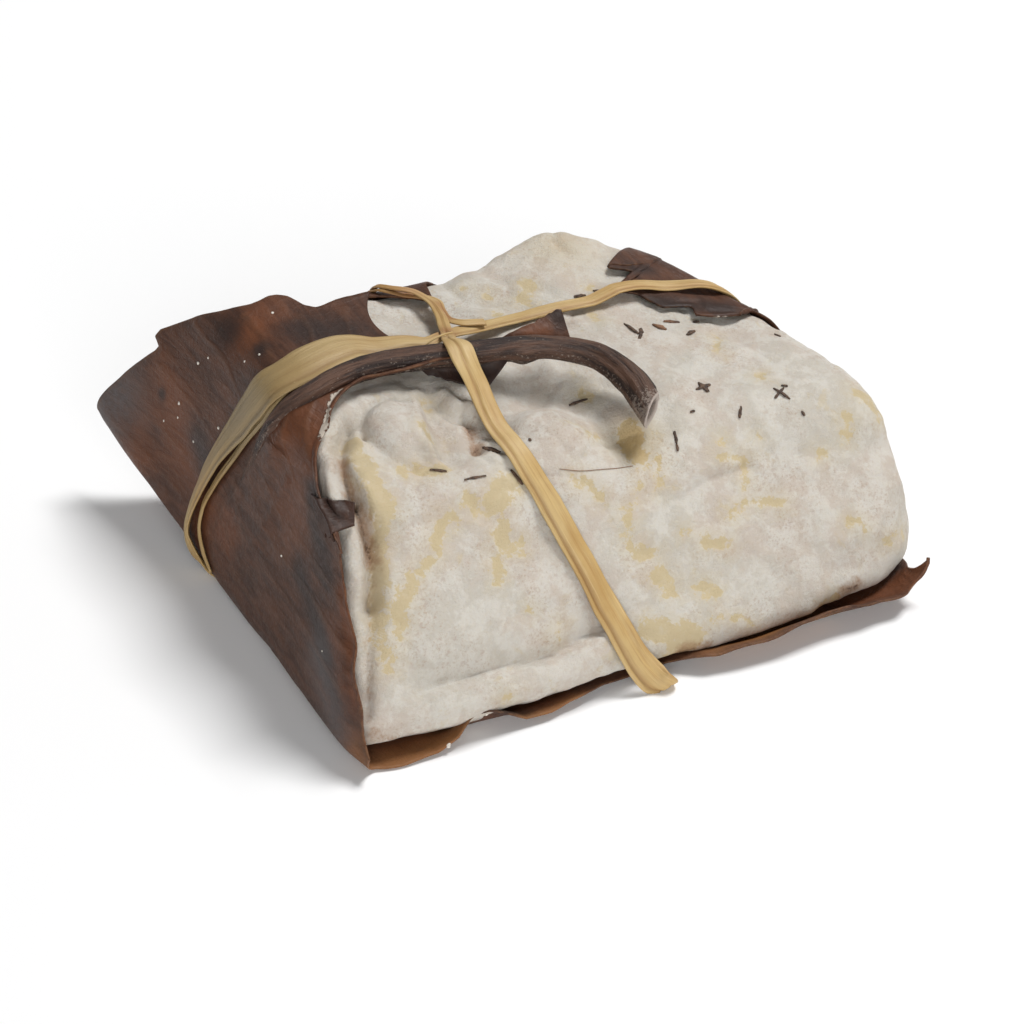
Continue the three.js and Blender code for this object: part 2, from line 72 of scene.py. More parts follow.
PAPER_SIDE = 4.0
PAPER_WHITE, PAPER_GLOW = 0.9, 0.04  # the glow keeps the far paper as white as the room
WHITE = (1, 1, 1, 1)
paper_mesh = bpy.data.meshes.new("paper")
paper_corners = [(-1, -1), (1, -1), (1, 1), (-1, 1)]
paper_places = [(x * PAPER_SIDE / 2, y * PAPER_SIDE / 2, 0) for x, y in paper_corners]
paper_mesh.from_pydata(paper_places, [], [(0, 1, 2, 3)])
paper = bpy.data.objects.new("paper", paper_mesh)
bpy.context.scene.collection.objects.link(paper)
paper_finish, _, paper_shader = new_material("paper")
paper_shader.inputs["Base Color"].default_value = (PAPER_WHITE, PAPER_WHITE, PAPER_WHITE, 1)
paper_shader.inputs["Emission Color"].default_value = WHITE
paper_shader.inputs["Emission Strength"].default_value = PAPER_GLOW
paper_shader.inputs["Roughness"].default_value = 0.9
paper_shader.inputs["Specular IOR Level"].default_value = 0.1
paper_mesh.materials.append(paper_finish)

VIEW_TURN, VIEW_RISE = np.radians(-30), np.radians(32)
VIEW_TARGET = Vector((-6.77, -10.29, 11.2)) * MILLIMETRE
VIEW_DISTANCE = 0.354
CAMERA_LENS, CAMERA_SENSOR = 110, 36  # millimetres
forward = Vector((-np.sin(VIEW_TURN), np.cos(VIEW_TURN), 0))
to_right = Vector((np.cos(VIEW_TURN), np.sin(VIEW_TURN), 0))
to_camera = Vector((0, 0, np.sin(VIEW_RISE))) - forward * np.cos(VIEW_RISE)


def look(place, target):
    """The placing of a camera or lamp at a place, with its own -Z towards the target and its Y upward."""
    turned = (place - target).to_track_quat("Z", "Y").to_matrix().to_4x4()
    return Matrix.Translation(place) @ turned


camera_data = bpy.data.cameras.new("camera")
camera_data.lens = CAMERA_LENS
camera_data.sensor_width = CAMERA_SENSOR
camera = bpy.data.objects.new("camera", camera_data)
bpy.context.scene.collection.objects.link(camera)
camera.matrix_world = look(VIEW_TARGET + to_camera * VIEW_DISTANCE, VIEW_TARGET)
bpy.context.scene.camera = camera

# Where each lamp hangs as the camera sees it, in metres from the origin, how wide it is, and its watts
LAMPS = {
    "window": {"right": 0.44, "forward": 0.4, "up": 1.15, "side": 0.45, "power": 15.3},
    "reflector": {"right": 0.1, "forward": -1.05, "up": 0.3, "side": 0.7, "power": 7.2},
}
ROOM_LIGHT = 0.18
for name, lamp in LAMPS.items():
    lamp_data = bpy.data.lights.new(name, "AREA")
    lamp_data.size = lamp["side"]
    lamp_data.energy = lamp["power"]
    lamp_object = bpy.data.objects.new(name, lamp_data)
    bpy.context.scene.collection.objects.link(lamp_object)
    place = to_right * lamp["right"] + forward * lamp["forward"] + Vector((0, 0, lamp["up"]))
    lamp_object.matrix_world = look(place, VIEW_TARGET)
room = bpy.data.worlds.new("room")
room.use_nodes = True
room_light = room.node_tree.nodes["Background"].inputs
room_light["Color"].default_value = WHITE
room_light["Strength"].default_value = ROOM_LIGHT
bpy.context.scene.world = room
bpy.context.scene.view_settings.view_transform = "Standard"

# The goat cheese: a soft ripened block with a white bloomy rind, pressed out of its leaf along the
# open front. The rind is mottled, and worn through to waxy yellow paste in crisp-edged places.
PARCEL_MIDDLE = np.array([-0.53, 0.49, 0])  # what the routes' and places' own frame has at the origin
HEART = np.array([-3.6, -7, 13])  # the block is star-shaped round this point
UNDERSIDE = 0.8
SQUARENESS = 13  # higher makes the edges between the block's sides sharper
BLOCK_SIDES = np.array(  # azimuth in plan, rise above the horizontal, distance from the heart
    [
        [-91, 35, 15.9],
        [-91, 6, 25.3],
        [-88, 71, 13.4],
        [-34, 84.5, 13.5],
        [12.5, 11, 35.7],
        [-49, 6, 40.6],
        [65, -3.5, 34.2],
        [91, 13, 26.8],
        [140, 16, 34],
        [175, 11.5, 29.9],
    ]
)
BLOCK_LUMPS = [  # place, radius, height
    ([12.2, 13.5, 28.8], 7.5, 5.6),
    ([-19, -10, 26.4], 5, 1.1),
    ([-7.7, -14.6, 24.4], 4.5, 0.9),
    ([-27.5, -14, 24.5], 4, 0.7),
    ([-5.1, -7.7, 26.1], 5.5, -2.4),
    ([1.6, -11.8, 24.9], 4.5, -1.2),
    ([2.9, -18.2, 22.8], 3.2, -1.8),
    ([-12.9, -12.5, 25], 3.2, -1.3),
    ([32.9, -21.5, 18.4], 3, 0.5),
]
GROOVE_ROUTES = [([-36, 10.5], [36, 2]), ([-3.3, -33], [-2, 22])]  # where the raffia runs underneath
GROOVE_FLAT, GROOVE_REACH, GROOVE_DEPTH = 4, 12, 0.7


def smoothstep(low, high, value):
    """0 below low, 1 above high, and the cubic 3t^2 - 2t^3 between them."""
    t = np.clip((value - low) / (high - low), 0, 1)
    return t * t * (3 - 2 * t)


def bell(distance, width):
    """exp(-(distance / width)^2), a rounded hump."""
    return np.exp(-((distance / width) ** 2))


def groove_at(x, y):
    """How far a raffia groove lifts the underside: full depth near a strand, fading out at its reach."""
    nearest = np.full(np.shape(x), np.inf)
    for start, end in GROOVE_ROUTES:
        along = np.subtract(end, start)
        across = (x - start[0]) * along[1] - (y - start[1]) * along[0]
        nearest = np.minimum(nearest, np.abs(across) / np.hypot(*along))
    return GROOVE_DEPTH * (1 - smoothstep(GROOVE_FLAT, GROOVE_REACH, nearest))


def side_normals():
    """Unit normals of the block's sides from their azimuth and rise."""
    azimuth, rise = np.radians(BLOCK_SIDES[:, 0]), np.radians(BLOCK_SIDES[:, 1])
    return np.stack([np.cos(rise) * np.cos(azimuth), np.cos(rise) * np.sin(azimuth), np.sin(rise)], 1)


def block_radius(direction, gap=0.0, taut=False):
    """Distance from the heart to the surface: the p-norm of how far the direction goes towards each side,
    turned upside down, plus bell-shaped lumps. taut keeps the swellings alone, as for a stretched skin."""
    facing = np.maximum(0, direction @ side_normals().T) / (BLOCK_SIDES[:, 2] + gap)
    total = (facing**SQUARENESS).sum(-1)
    drop = HEART[2] - UNDERSIDE
    down = np.maximum(1e-9, -direction[..., 2])
    floor_x = HEART[0] + direction[..., 0] / down * drop
    floor_y = HEART[1] + direction[..., 1] / down * drop
    lowest = drop - groove_at(floor_x, floor_y) + gap
    total = total + np.where(direction[..., 2] < 0, (down / lowest) ** SQUARENESS, 0)
    plain = total ** (-1 / SQUARENESS)
    point = HEART + direction * plain[..., None]
    relief = np.zeros(plain.shape)
    for at, radius, height in BLOCK_LUMPS:
        if height > 0 or not taut:
            relief += height * bell(np.linalg.norm(point - np.array(at), axis=-1), radius)
    return plain + relief


def block_normal(direction):
    """Outward unit normal of the block without its lumps, as a mix of its sides' normals."""
    facing = np.maximum(0, direction @ side_normals().T) / BLOCK_SIDES[:, 2]
    normal = (facing ** (SQUARENESS - 1) / BLOCK_SIDES[:, 2]) @ side_normals()
    drop = HEART[2] - UNDERSIDE
    normal[..., 2] -= (np.maximum(0, -direction[..., 2]) / drop) ** (SQUARENESS - 1) / drop
    return normal / np.linalg.norm(normal, axis=-1, keepdims=True)


def cloud(points, size, seed, octaves=2):
    """Fractal noise from -1 to 1: random numbers on a cubic lattice, blended smoothly between its corners,
    and each octave half as wide and half as strong as the one before."""
    total, weight = np.zeros(points.shape[:-1]), 0.0
    for octave in range(octaves):
        cell = points * (2**octave / size) + 37.3 * octave + 11.7
        corner = np.floor(cell).astype(np.int64)
        t = cell - corner
        t = t * t * (3 - 2 * t)
        for step in np.ndindex(2, 2, 2):
            x, y, z = np.moveaxis(corner + np.array(step), -1, 0)
            mixed = (x * 374761393 + y * 668265263 + z * 1442695041 + (seed + octave) * 362437) & 0xFFFFFFFF
            mixed = ((mixed ^ (mixed >> 13)) * 1274126177) & 0xFFFFFFFF
            number = ((mixed ^ (mixed >> 16)) & 0xFFFF) / 32767.5 - 1
            share = np.where(np.array(step), t, 1 - t).prod(-1)
            total += share * number / 2**octave
        weight += 1 / 2**octave
    return total / weight


def unevenness(points, layers):
    """Clouds of several sizes on top of each other, each layer given as height, size and seed."""
    return sum(height * cloud(points, size, seed) for height, size, seed in layers)


def distance_to_line(points, line):
    """Distance of each point to a line through several places, or to a single place."""
    line = np.array(line, float)
    if len(line) == 1:
        return np.linalg.norm(points - line[0], axis=-1)
    nearest = np.full(points.shape[:-1], np.inf)
    for start, end in zip(line[:-1], line[1:]):
        along = end - start
        t = np.clip((points - start) @ along / (along @ along), 0, 1)
        nearest = np.minimum(nearest, np.linalg.norm(points - start - t[..., None] * along, axis=-1))
    return nearest


FAR_OUTSIDE = -6.0


def closeness(points, strokes):
    """How far inside the nearest stroke a point is: half its width less the distance to its line."""
    inside = np.full(points.shape[:-1], FAR_OUTSIDE)
    for half_width, line in strokes:
        inside = np.maximum(inside, half_width - distance_to_line(points, line))
    return inside


def new_piece(name, points, faces, finish, attributes=None):
    """A smooth-shaded mesh object from millimetre places in the parcel's frame. Its faces are one or more
    arrays of corner numbers, and its point attributes are numbers or vectors."""
    mesh = bpy.data.meshes.new(name)
    corners = [face for part in (faces if isinstance(faces, list) else [faces]) for face in part.tolist()]
    mesh.from_pydata(((points - PARCEL_MIDDLE) * MILLIMETRE).tolist(), [], corners)
    mesh.shade_smooth()
    for attribute, values in (attributes or {}).items():
        values = np.asarray(values, np.float32)
        kind, field = ("FLOAT_VECTOR", "vector") if values.ndim == 2 else ("FLOAT", "value")
        mesh.attributes.new(attribute, kind, "POINT").data.foreach_set(field, values.ravel())
    mesh.materials.append(finish)
    piece = bpy.data.objects.new(name, mesh)
    bpy.context.scene.collection.objects.link(piece)
    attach(piece, "root")
    return piece


def vertex_normals(points, faces):
    """Unit normals at the points: each quad's diagonal cross product, summed at its corners."""
    a, b, c, d = (points[faces[:, k]] for k in range(4))
    face_normal = np.cross(c - a, d - b)
    total = np.zeros_like(points)
    for k in range(4):
        for axis in range(3):
            total[:, axis] += np.bincount(faces[:, k], face_normal[:, axis], len(points))
    return total / np.linalg.norm(total, axis=1, keepdims=True)


def box_lattice(cells):
    """The surface of a box of that many cells: its whole-number places and its outward quads."""
    places, quads = [], []
    for axis in range(3):
        across, along = (axis + 1) % 3, (axis + 2) % 3
        i, j = np.meshgrid(np.arange(cells[across] + 1), np.arange(cells[along] + 1), indexing="ij")
        for far in (0, 1):
            grid = np.zeros((*i.shape, 3), int)
            grid[..., axis], grid[..., across], grid[..., along] = far * cells[axis], i, j
            number = np.arange(i.size).reshape(i.shape) + sum(len(p) for p in places)
            ring = [number[:-1, :-1], number[1:, :-1], number[1:, 1:], number[:-1, 1:]]
            quads.append(np.stack(ring if far else ring[::-1], -1).reshape(-1, 4))
            places.append(grid.reshape(-1, 3))
    unique, where = np.unique(np.concatenate(places), axis=0, return_inverse=True)
    return unique, where.reshape(-1)[np.concatenate(quads)]


# the box whose lattice is blown out to the block: its cells along X, Y and Z, its sides and its middle
BLOCK_CELLS = np.array([180, 132, 66])
BLOCK_SIZE = np.array([75, 55, 27])
BLOCK_MIDDLE = np.array([0, -5, 14.5])
lattice, block_quads = box_lattice(BLOCK_CELLS)
block_direction = (lattice / BLOCK_CELLS - 0.5) * BLOCK_SIZE + BLOCK_MIDDLE - HEART
block_direction /= np.linalg.norm(block_direction, axis=1, keepdims=True)
block_plain = HEART + block_direction * block_radius(block_direction)[:, None]

# Where the bloom is worn through to yellow paste: half width, and the line it follows
BARE_STROKES = [
    (1.1, [(-27.3, -9.4, 26.4), (-27.7, -11.7, 25.8), (-27.9, -14.7, 24.9),
           (-27.9, -17, 23.7), (-28.3, -18.8, 22.2)]),
    (0.9, [(-28.3, -18.8, 22.2), (-29.2, -20.1, 20.7), (-30.5, -21.9, 18.2),
           (-31.9, -23.9, 15), (-32.8, -26.1, 12)]),
    (0.6, [(-32.8, -26.1, 12), (-33, -27.9, 9.4)]),
    (0.45, [(-33, -27.9, 9.4), (-30.9, -26.3, 12.2)]),
    (0.85, [(-30.9, -26.3, 12.2), (-29.7, -24.8, 14.5), (-27.2, -23.4, 16.6)]),
    (0.75, [(-27.2, -23.4, 16.6), (-24.3, -22.6, 17.9), (-23.7, -21.9, 18.7),
            (-22.5, -20.8, 20.2), (-20.9, -20.5, 20.6)]),
    (0.7, [(-18.2, -19.7, 21.5), (-18.2, -20.5, 20.6)]),
    (1.2, [(-16.6, -20.7, 20.5), (-15.3, -20, 21.3), (-13.8, -19.5, 21.8), (-12.6, -19.4, 22)]),
    (0.8, [(-15.5, -22, 18.8), (-16.2, -22.7, 17.9), (-15.7, -23.5, 16.9), (-14.5, -23.6, 16.7)]),
    (0.57, [(-17.7, -24, 16.1), (-18, -25.2, 14.3)]),
    (0.34, [(-15.3, -27.6, 10.9)]),
    (0.45, [(-12.1, -29.1, 8.6), (-12.7, -29.6, 7.8)]),
    (0.45, [(-20.6, -31.6, 3.7)]),
    (0.68, [(-5.6, -20.7, 20.8), (-4.3, -21.3, 20.1), (-3.4, -22.3, 18.8)]),
    (0.57, [(-1.3, -16.4, 23.1), (0, -16.7, 22.4)]),
    (1.47, [(4.1, -16.8, 22.2), (2.9, -19.2, 20.9)]),
    (0.34, [(2.3, -21.2, 19.8), (1.1, -23.3, 17.6)]),
    (0.34, [(5.3, -20.5, 20.6), (3.5, -23.1, 17.9)]),
    (0.28, [(11.8, -22.2, 19.2), (14.9, -22.8, 18.5)]),
    (0.34, [(15.4, -22.9, 18.4), (14.2, -24.7, 15.9)]),
    (0.45, [(11.3, -25.9, 14), (14.5, -25.7, 14.4), (18.2, -26.4, 13.5)]),
    (0.57, [(-0.7, -23.8, 16.8), (-1.8, -26, 13.6)]),
    (0.68, [(-1.4, -26.3, 13.1), (1.1, -26.9, 12.3)]),
    (1.13, [(0.6, -28.1, 10.6), (1.6, -29.1, 9)]),
    (0.9, [(5.2, -29.7, 8.1), (6.6, -30.2, 7.4)]),
    (0.34, [(5.2, -26.2, 13.5)]),
    (0.68, [(7.2, -27.3, 11.9), (9.6, -27.7, 11.4)]),
    (1.47, [(-2, -30.9, 5.9), (2.7, -31.8, 4.1)]),
    (1.24, [(0.3, -32, 2.9), (1.9, -32.1, 2.7)]),
    (0.18, [(5.8, -31.4, 5.1), (8.2, -31.7, 4.7), (9.7, -32, 4), (10.5, -32.3, 3.1)]),
    (0.9, [(32, -20.2, 20.5), (33.3, -21.1, 19.2), (33.9, -21.9, 17.9)]),
    (0.68, [(29.3, -22.3, 19.1), (28.7, -23.6, 17.5)]),
    (0.57, [(24.8, -24.2, 16.7)]),
    (0.45, [(17.5, -21.8, 19.8)]),
    (0.45, [(13.1, -21.4, 20.2)]),
    (0.23, [(25.6, -28.7, 9.8), (27.1, -28.8, 9.5), (27.8, -29.4, 8.5), (27.5, -29.7, 8)]),
    (0.45, [(30.1, -30.1, 6.2), (33.5, -28.7, 5.8)]),
    (0.68, [(19.8, -32, 1.7), (22, -32.4, 2.5)]),
    (0.45, [(22, -6.3, 24.5), (20.1, -9.8, 24.3)]),
    (0.57, [(22.1, -15, 23.3)]),
    (0.79, [(5.9, 9.6, 27.6), (3.8, 7.4, 27.2)]),
    (0.57, [(1, 10.2, 27.4)]),
    (0.57, [(-0.7, 12.8, 27.4)]),
    (0.45, [(0, 6.3, 27.1)]),
    (0.68, [(1.9, -9.4, 24.3), (2.3, -10.6, 24)]),
    (0.79, [(-16.1, -6.6, 27)]),
    (0.68, [(-19.4, -11.6, 26.2), (-19, -12.8, 25.7)]),
    (0.68, [(-23.8, -15.2, 24.6), (-20, -16.3, 24)]),
    (0.57, [(10.9, 3.1, 26.3), (10.9, 1.4, 26.1)]),
    (0.45, [(13.2, 7.3, 27.1)]),
]
# Where the rind is painted brown: a real stain from the leaf's juice near its margins, and painted shade in
# the deep crease beside the leaf's left margin and in the hollows beside the raffia and below the stalk's end
STAIN_AND_SHADE_STROKES = [
    (0.5, [(-30.4, -18.6, 22), (-30.6, -20, 20.4), (-30.9, -21.3, 18.8)]),
    (0.2, [(-29.3, -11.2, 25.7), (-30.2, -14.1, 24.7), (-30.5, -16.1, 23.7), (-30.4, -18, 22.6)]),
    (-0.4, [(-30.9, -21.3, 18.8), (-32.3, -23.4, 15.6), (-34, -25.6, 12.2),
            (-35.1, -27.8, 8.7), (-36.3, -29.6, 5)]),
    (0.57, [(23.5, -32.2, 3), (25.3, -32, 3.1)]),
    (0.8, [(1.6, -32.3, 2.2), (4.4, -32.6, 1.6)]),
    (-0.5, [(4.4, -16.4, 22.6), (3.6, -18.2, 21.6)]),
    (0.3, [(-13.3, -11, 25), (-13.9, -13.2, 24.4), (-14.1, -14.6, 24.1)]),
    (0.1, [(-36, -30.2, 3.6), (-34, -31.2, 2.8)]),
]
# Creases pressed into the rind: depth, half width, and the line
CREASES = [
    (2.3, 1.0, [(-26.2, -7, 27), (-27.9, -8.3, 26.5), (-29.5, -11.2, 25.7),
                (-30.3, -14.1, 24.7), (-30.6, -16.1, 23.7)]),
    (2.3, 1.0, [(-30.6, -16.1, 23.7), (-30.4, -18, 22.6), (-30.6, -20, 20.4),
                (-31.6, -22.1, 17.6), (-32.8, -24, 14.9)]),
    (0.9, 0.8, [(-32.8, -24, 14.9), (-34.8, -27, 9.8), (-36.2, -29.4, 5.4)]),
    (0.9, 0.6, [(-19.9, -5.3, 27.5), (-21.5, -5.1, 27.5), (-23.5, -6, 27.3),
                (-24.8, -7.3, 27), (-25.3, -9, 26.6)]),
    (0.55, 0.6, [(-25.3, -9, 26.6), (-25.1, -10.8, 26.2), (-24.6, -12.6, 25.7),
                 (-23.9, -14.1, 25.1), (-22.4, -15.6, 24.3)]),
    (1.5, 2.0, [(-16, -6.3, 27.1), (-16.7, -9.6, 26.5), (-17.1, -12.5, 25.5), (-17.6, -15, 24.5)]),
    (0.8, 0.5, [(-14.7, -6.3, 26.9), (-14.9, -8.7, 26.4), (-14.4, -10.3, 25.7), (-13.5, -10.5, 25.3)]),
    (0.8, 0.6, [(-12.7, -9.8, 25.4), (-13.6, -12.6, 24.6), (-14.2, -14.4, 24.2)]),
    (0.7, 0.4, [(-14.6, -14.6, 24.2), (-13.1, -15, 24), (-12, -16, 23.9)]),
    (1.2, 1.4, [(-8.8, -7.6, 25.1), (-9.6, -11, 24.9), (-9.2, -14.6, 24)]),
    (0.5, 0.5, [(3.4, 0.5, 26.9), (6.2, 1.6, 26.6), (8.6, 3.4, 26.6)]),
    (0.5, 0.5, [(6, -24, 16.4), (10.4, -23.2, 17.4), (15.6, -23.4, 17.4)]),
    (0.45, 0.5, [(14, 6, 27.6), (9, 8.6, 28), (3.6, 9, 27.6)]),
]
# Swellings between them: height, half width, and the line
ROLLS = [
    (0.9, 1.2, [(-30.1, -10.8, 25.7), (-31.8, -12.5, 24.3), (-32.1, -14.2, 23.5), (-31.9, -16.6, 22.8)]),
    (0.7, 1.1, [(-28.4, -10.6, 26.1), (-29.1, -13.3, 25.2), (-29.3, -15.7, 24.3), (-29.1, -18.3, 22.5)]),
    (0.9, 3.0, [(-22, -8.6, 27), (-21.6, -11.6, 26.2)]),
    (0.7, 0.9, [(-16.4, -4.5, 27.3), (-18, -7.5, 27.1), (-19.5, -10.5, 26.6),
                (-20.4, -12.4, 25.9), (-20, -13.8, 25.2)]),
    (0.7, 0.8, [(-20, -13.8, 25.2), (-19.5, -15.7, 24.3)]),
    (1.1, 0.9, [(-13.7, -5.9, 26.8), (-13.3, -8.2, 26.2), (-12.1, -8.9, 25.7)]),
    (0.6, 2.0, [(-21, -18.4, 22.8), (-16, -17.8, 23.2)]),
    (1.0, 3.0, [(-5, -12.5, 25), (-4.6, -16.5, 23.8)]),
]
# The crease over the foot of the open front: X against Z, the hollow above it and the roll below it
FOOT_CREASE = [
    (-36, 6.9), (-32.4, 6.7), (-26.8, 6.6), (-20.6, 6.5), (-17, 6.2), (-13.3, 6.1), (-10.7, 6.4), (-8, 7),
    (-4, 8),
]
FOOT_HOLLOW = 1.7
FOOT_ROLL = 0.75
FOOT_UNDERCUT = (1.3, 1.6, [(-36, -31.5, 0.9), (-20, -32.5, 0.9), (-10, -33, 0.6)])
# The leaf's margin on the block's left end: behind it the rind is pressed flat. Z against Y
PRESSED_FROM = [(0.8, -31), (7.5, -29), (17, -22.5), (22.3, -16.5), (25.8, -10.5), (28.2, -5.5)]
PRESSED_FLAT = 0.75
# Where the rind is waxy and deeper yellow: strength, width and place
WAXY_SPOTS = [(1, 5, (13.6, 14.9, 28.6)), (1.6, 3.2, (3.4, -18.2, 22))]
# The pressed curd's unevenness: height, size and seed of each layer of it
CURD_UNEVENNESS = [(0.7, 10, 3), (0.42, 3.8, 5), (0.16, 1.5, 8)]
CREASE_WAVER = [(0.25, 2, 12)]
FOOT_WAVER = [(0.35, 4, 19)]
WRINKLE_DEPTH, WRINKLE_SIZE, WRINKLE_SHARPNESS, WRINKLE_SEED = 0.3, 8, 3.2, 15
BARE_DEPTH = 0.07

block_x, block_y, block_z = block_plain.T
bare = closeness(block_plain, BARE_STROKES)
stain_and_shade = closeness(block_plain, STAIN_AND_SHADE_STROKES)
tint = sum(strength * bell(distance_to_line(block_plain, [at]), width) for strength, width, at in WAXY_SPOTS)

relief = unevenness(block_plain, CURD_UNEVENNESS)
# wrinkles lie where the noise changes sign, and fade out towards the foot
wrinkles = np.abs(cloud(block_plain, WRINKLE_SIZE, WRINKLE_SEED))
wrinkles = np.clip(1 - WRINKLE_SHARPNESS * wrinkles, 0, 1) ** 2
relief -= WRINKLE_DEPTH * wrinkles * smoothstep(8, 26, block_z)
relief -= BARE_DEPTH * smoothstep(-0.3, 0.5, bare)
crease_shade = np.zeros(len(block_plain))
for depth, width, line in CREASES:
    apart = distance_to_line(block_plain, line) * (1 + unevenness(block_plain, CREASE_WAVER))
    pressed = depth * np.exp(-((apart / width) ** 1.4))
    relief -= pressed
    crease_shade = np.maximum(crease_shade, pressed)
for height, width, line in ROLLS:
    relief += height * bell(distance_to_line(block_plain, line), width)

crease_x, crease_z = np.array(FOOT_CREASE).T
above = block_z - np.interp(block_x, crease_x, crease_z) + unevenness(block_plain, FOOT_WAVER)
on_front = smoothstep(-26, -28, block_y) * smoothstep(-33, -27, block_x) * smoothstep(-3, -8, block_x)
hollowed = np.exp(-np.maximum(0, above) / 2) * smoothstep(-0.5, 0.1, above)
relief += on_front * (FOOT_ROLL * bell(above + 2, 2) - FOOT_HOLLOW * hollowed)
cut_depth, cut_width, cut_line = FOOT_UNDERCUT
relief -= cut_depth * bell(distance_to_line(block_plain, cut_line), cut_width)

# under the leaf and on the table, what stands out is pressed nearly flat
pressed_z, pressed_y = np.array(PRESSED_FROM).T
behind_margin = block_y - np.interp(block_z, pressed_z, pressed_y)
covered = smoothstep(-24, -27, block_x) * smoothstep(-0.6, 0.8, behind_margin)
covered = np.maximum(covered, smoothstep(3, 1, block_z))
relief = np.where(relief > 0, relief * (1 - PRESSED_FLAT * covered), relief)
block_places = block_plain + vertex_normals(block_plain, block_quads) * relief[:, None]

rind_finish, rind_tree, rind_shader = new_material("bloomy_rind")


def in_millimetres(tree):
    """The piece's own coordinates, scaled from metres to millimetres."""
    own = wire(tree, "ShaderNodeTexCoord").outputs["Object"]
    return wire(tree, "ShaderNodeVectorMath", {0: own, "Scale": 1000.0}, operation="SCALE").outputs[0]


def noise(tree, place, scale, detail=4.0, roughness=0.55, distortion=0.0):
    """Noise of that many features to the millimetre."""
    inputs = {"Vector": place, "Scale": scale, "Detail": detail}
    inputs.update({"Roughness": roughness, "Distortion": distortion})
    return wire(tree, "ShaderNodeTexNoise", inputs).outputs[0]


def calculate(tree, operation, first, second=0.0, third=0.0):
    """One sum, product or other operation on numbers."""
    return wire(tree, "ShaderNodeMath", {0: first, 1: second, 2: third}, operation=operation).outputs[0]


def step(tree, value, low, high, to_low=0.0, to_high=1.0):
    """A smooth step of the value from low to high."""
    inputs = {"Value": value, "From Min": low, "From Max": high, "To Min": to_low, "To Max": to_high}
    return wire(tree, "ShaderNodeMapRange", inputs, interpolation_type="SMOOTHSTEP").outputs["Result"]


def scaled(tree, mask, strength):
    """A mask made weaker or stronger."""
    return calculate(tree, "MULTIPLY", mask, strength)


def combined(tree, start, *parts):
    """A start value plus several masks, each times its own strength."""
    for mask, strength in parts:
        start = calculate(tree, "MULTIPLY_ADD", mask, strength, start)
    return start


def paint(tree, under, over, mask, strength=1.0):
    """One colour laid over another, as far as the mask says, times a strength."""
    factor = mask if strength == 1.0 else scaled(tree, mask, strength)
    return wire(tree, "ShaderNodeMix", {0: factor, 6: under, 7: over}, data_type="RGBA").outputs[2]


def read(tree, attribute, output="Fac"):
    """A point attribute of the mesh."""
    return wire(tree, "ShaderNodeAttribute", attribute_name=attribute).outputs[output]


def bump(tree, height, distance):
    """A normal from a height; distance is the height of 1 in millimetres."""
    inputs = {"Height": height, "Distance": distance * MILLIMETRE, "Strength": 1.0}
    return wire(tree, "ShaderNodeBump", inputs).outputs[0]


BLOOM_WARM = linear(196, 185, 174)
BLOOM_COOL = linear(194, 188, 178)
BLOOM_WHITE = linear(210, 206, 198)
BLOOM_SPECK = linear(170, 146, 133)
PASTE = linear(194, 176, 138)
PASTE_DEEP = linear(184, 155, 102)
STAIN_AND_SHADE_BROWN = linear(150, 112, 80)
STAIN_AND_SHADE_DARK = linear(76, 52, 40)
CREASE_SHADE_GREY = linear(160, 146, 132)
RIND_BUMP = 0.18
RIND_DEPTH = 1.2  # how far light runs under the surface

rind_place = in_millimetres(rind_tree)
patchy = noise(rind_tree, rind_place, 0.12, 6, 0.6)
zones = noise(rind_tree, rind_place, 0.16, 3, 0.5)
thin_places = noise(rind_tree, rind_place, 0.26, 9, 0.66, 0.4)
downy = noise(rind_tree, rind_place, 0.3, 8, 0.66, 0.3)
coarse = noise(rind_tree, rind_place, 0.34, 5, 0.6, 0.8)
ragged = noise(rind_tree, rind_place, 0.8, 8, 0.68)
mottle = noise(rind_tree, rind_place, 1.3, 7, 0.66)
fine = noise(rind_tree, rind_place, 3.2, 6, 0.7)

# the worn places: the strokes with an edge torn by two noises, and a few thin places besides
ragged_edge = combined(rind_tree, -3.15, (ragged, 4.4), (coarse, 2.0))
bare_here = calculate(rind_tree, "ADD", read(rind_tree, "bare"), ragged_edge)
worn_thin = scaled(rind_tree, step(rind_tree, thin_places, 0.6, 0.66), 0.45)
paste_mask = calculate(rind_tree, "MAXIMUM", step(rind_tree, bare_here, -0.1, 0.35), worn_thin)
paste_mask = scaled(rind_tree, paste_mask, step(rind_tree, ragged, 0.3, 0.5, 0.72, 1.0))
halo = scaled(rind_tree, step(rind_tree, bare_here, -2.2, 0.2), 0.25)
waxy = calculate(rind_tree, "MINIMUM", scaled(rind_tree, read(rind_tree, "tint"), 0.6), 1.0)
stain_and_shade_here = combined(rind_tree, read(rind_tree, "stain_and_shade"), (ragged_edge, 0.6))

# the bloom: two greys, white down, and grey-brown specks that gather in zones
speck_zone = step(rind_tree, zones, 0.46, 0.6)
specks = scaled(rind_tree, step(rind_tree, fine, 0.54, 0.62), speck_zone)
mottle_strength = combined(rind_tree, 0.05, (speck_zone, 0.35))
bloom = paint(rind_tree, BLOOM_WARM, BLOOM_COOL, step(rind_tree, patchy, 0.42, 0.58))
bloom = paint(rind_tree, bloom, BLOOM_WHITE, step(rind_tree, downy, 0.45, 0.58), 0.7)
bloom = paint(rind_tree, bloom, BLOOM_SPECK, specks, 0.5)
bloom = paint(rind_tree, bloom, BLOOM_SPECK, step(rind_tree, mottle, 0.45, 0.36), mottle_strength)
bloom = paint(rind_tree, bloom, BLOOM_WHITE, step(rind_tree, mottle, 0.54, 0.62), 0.35)
bloom = paint(rind_tree, bloom, PASTE, step(rind_tree, fine, 0.35, 0.7), 0.16)

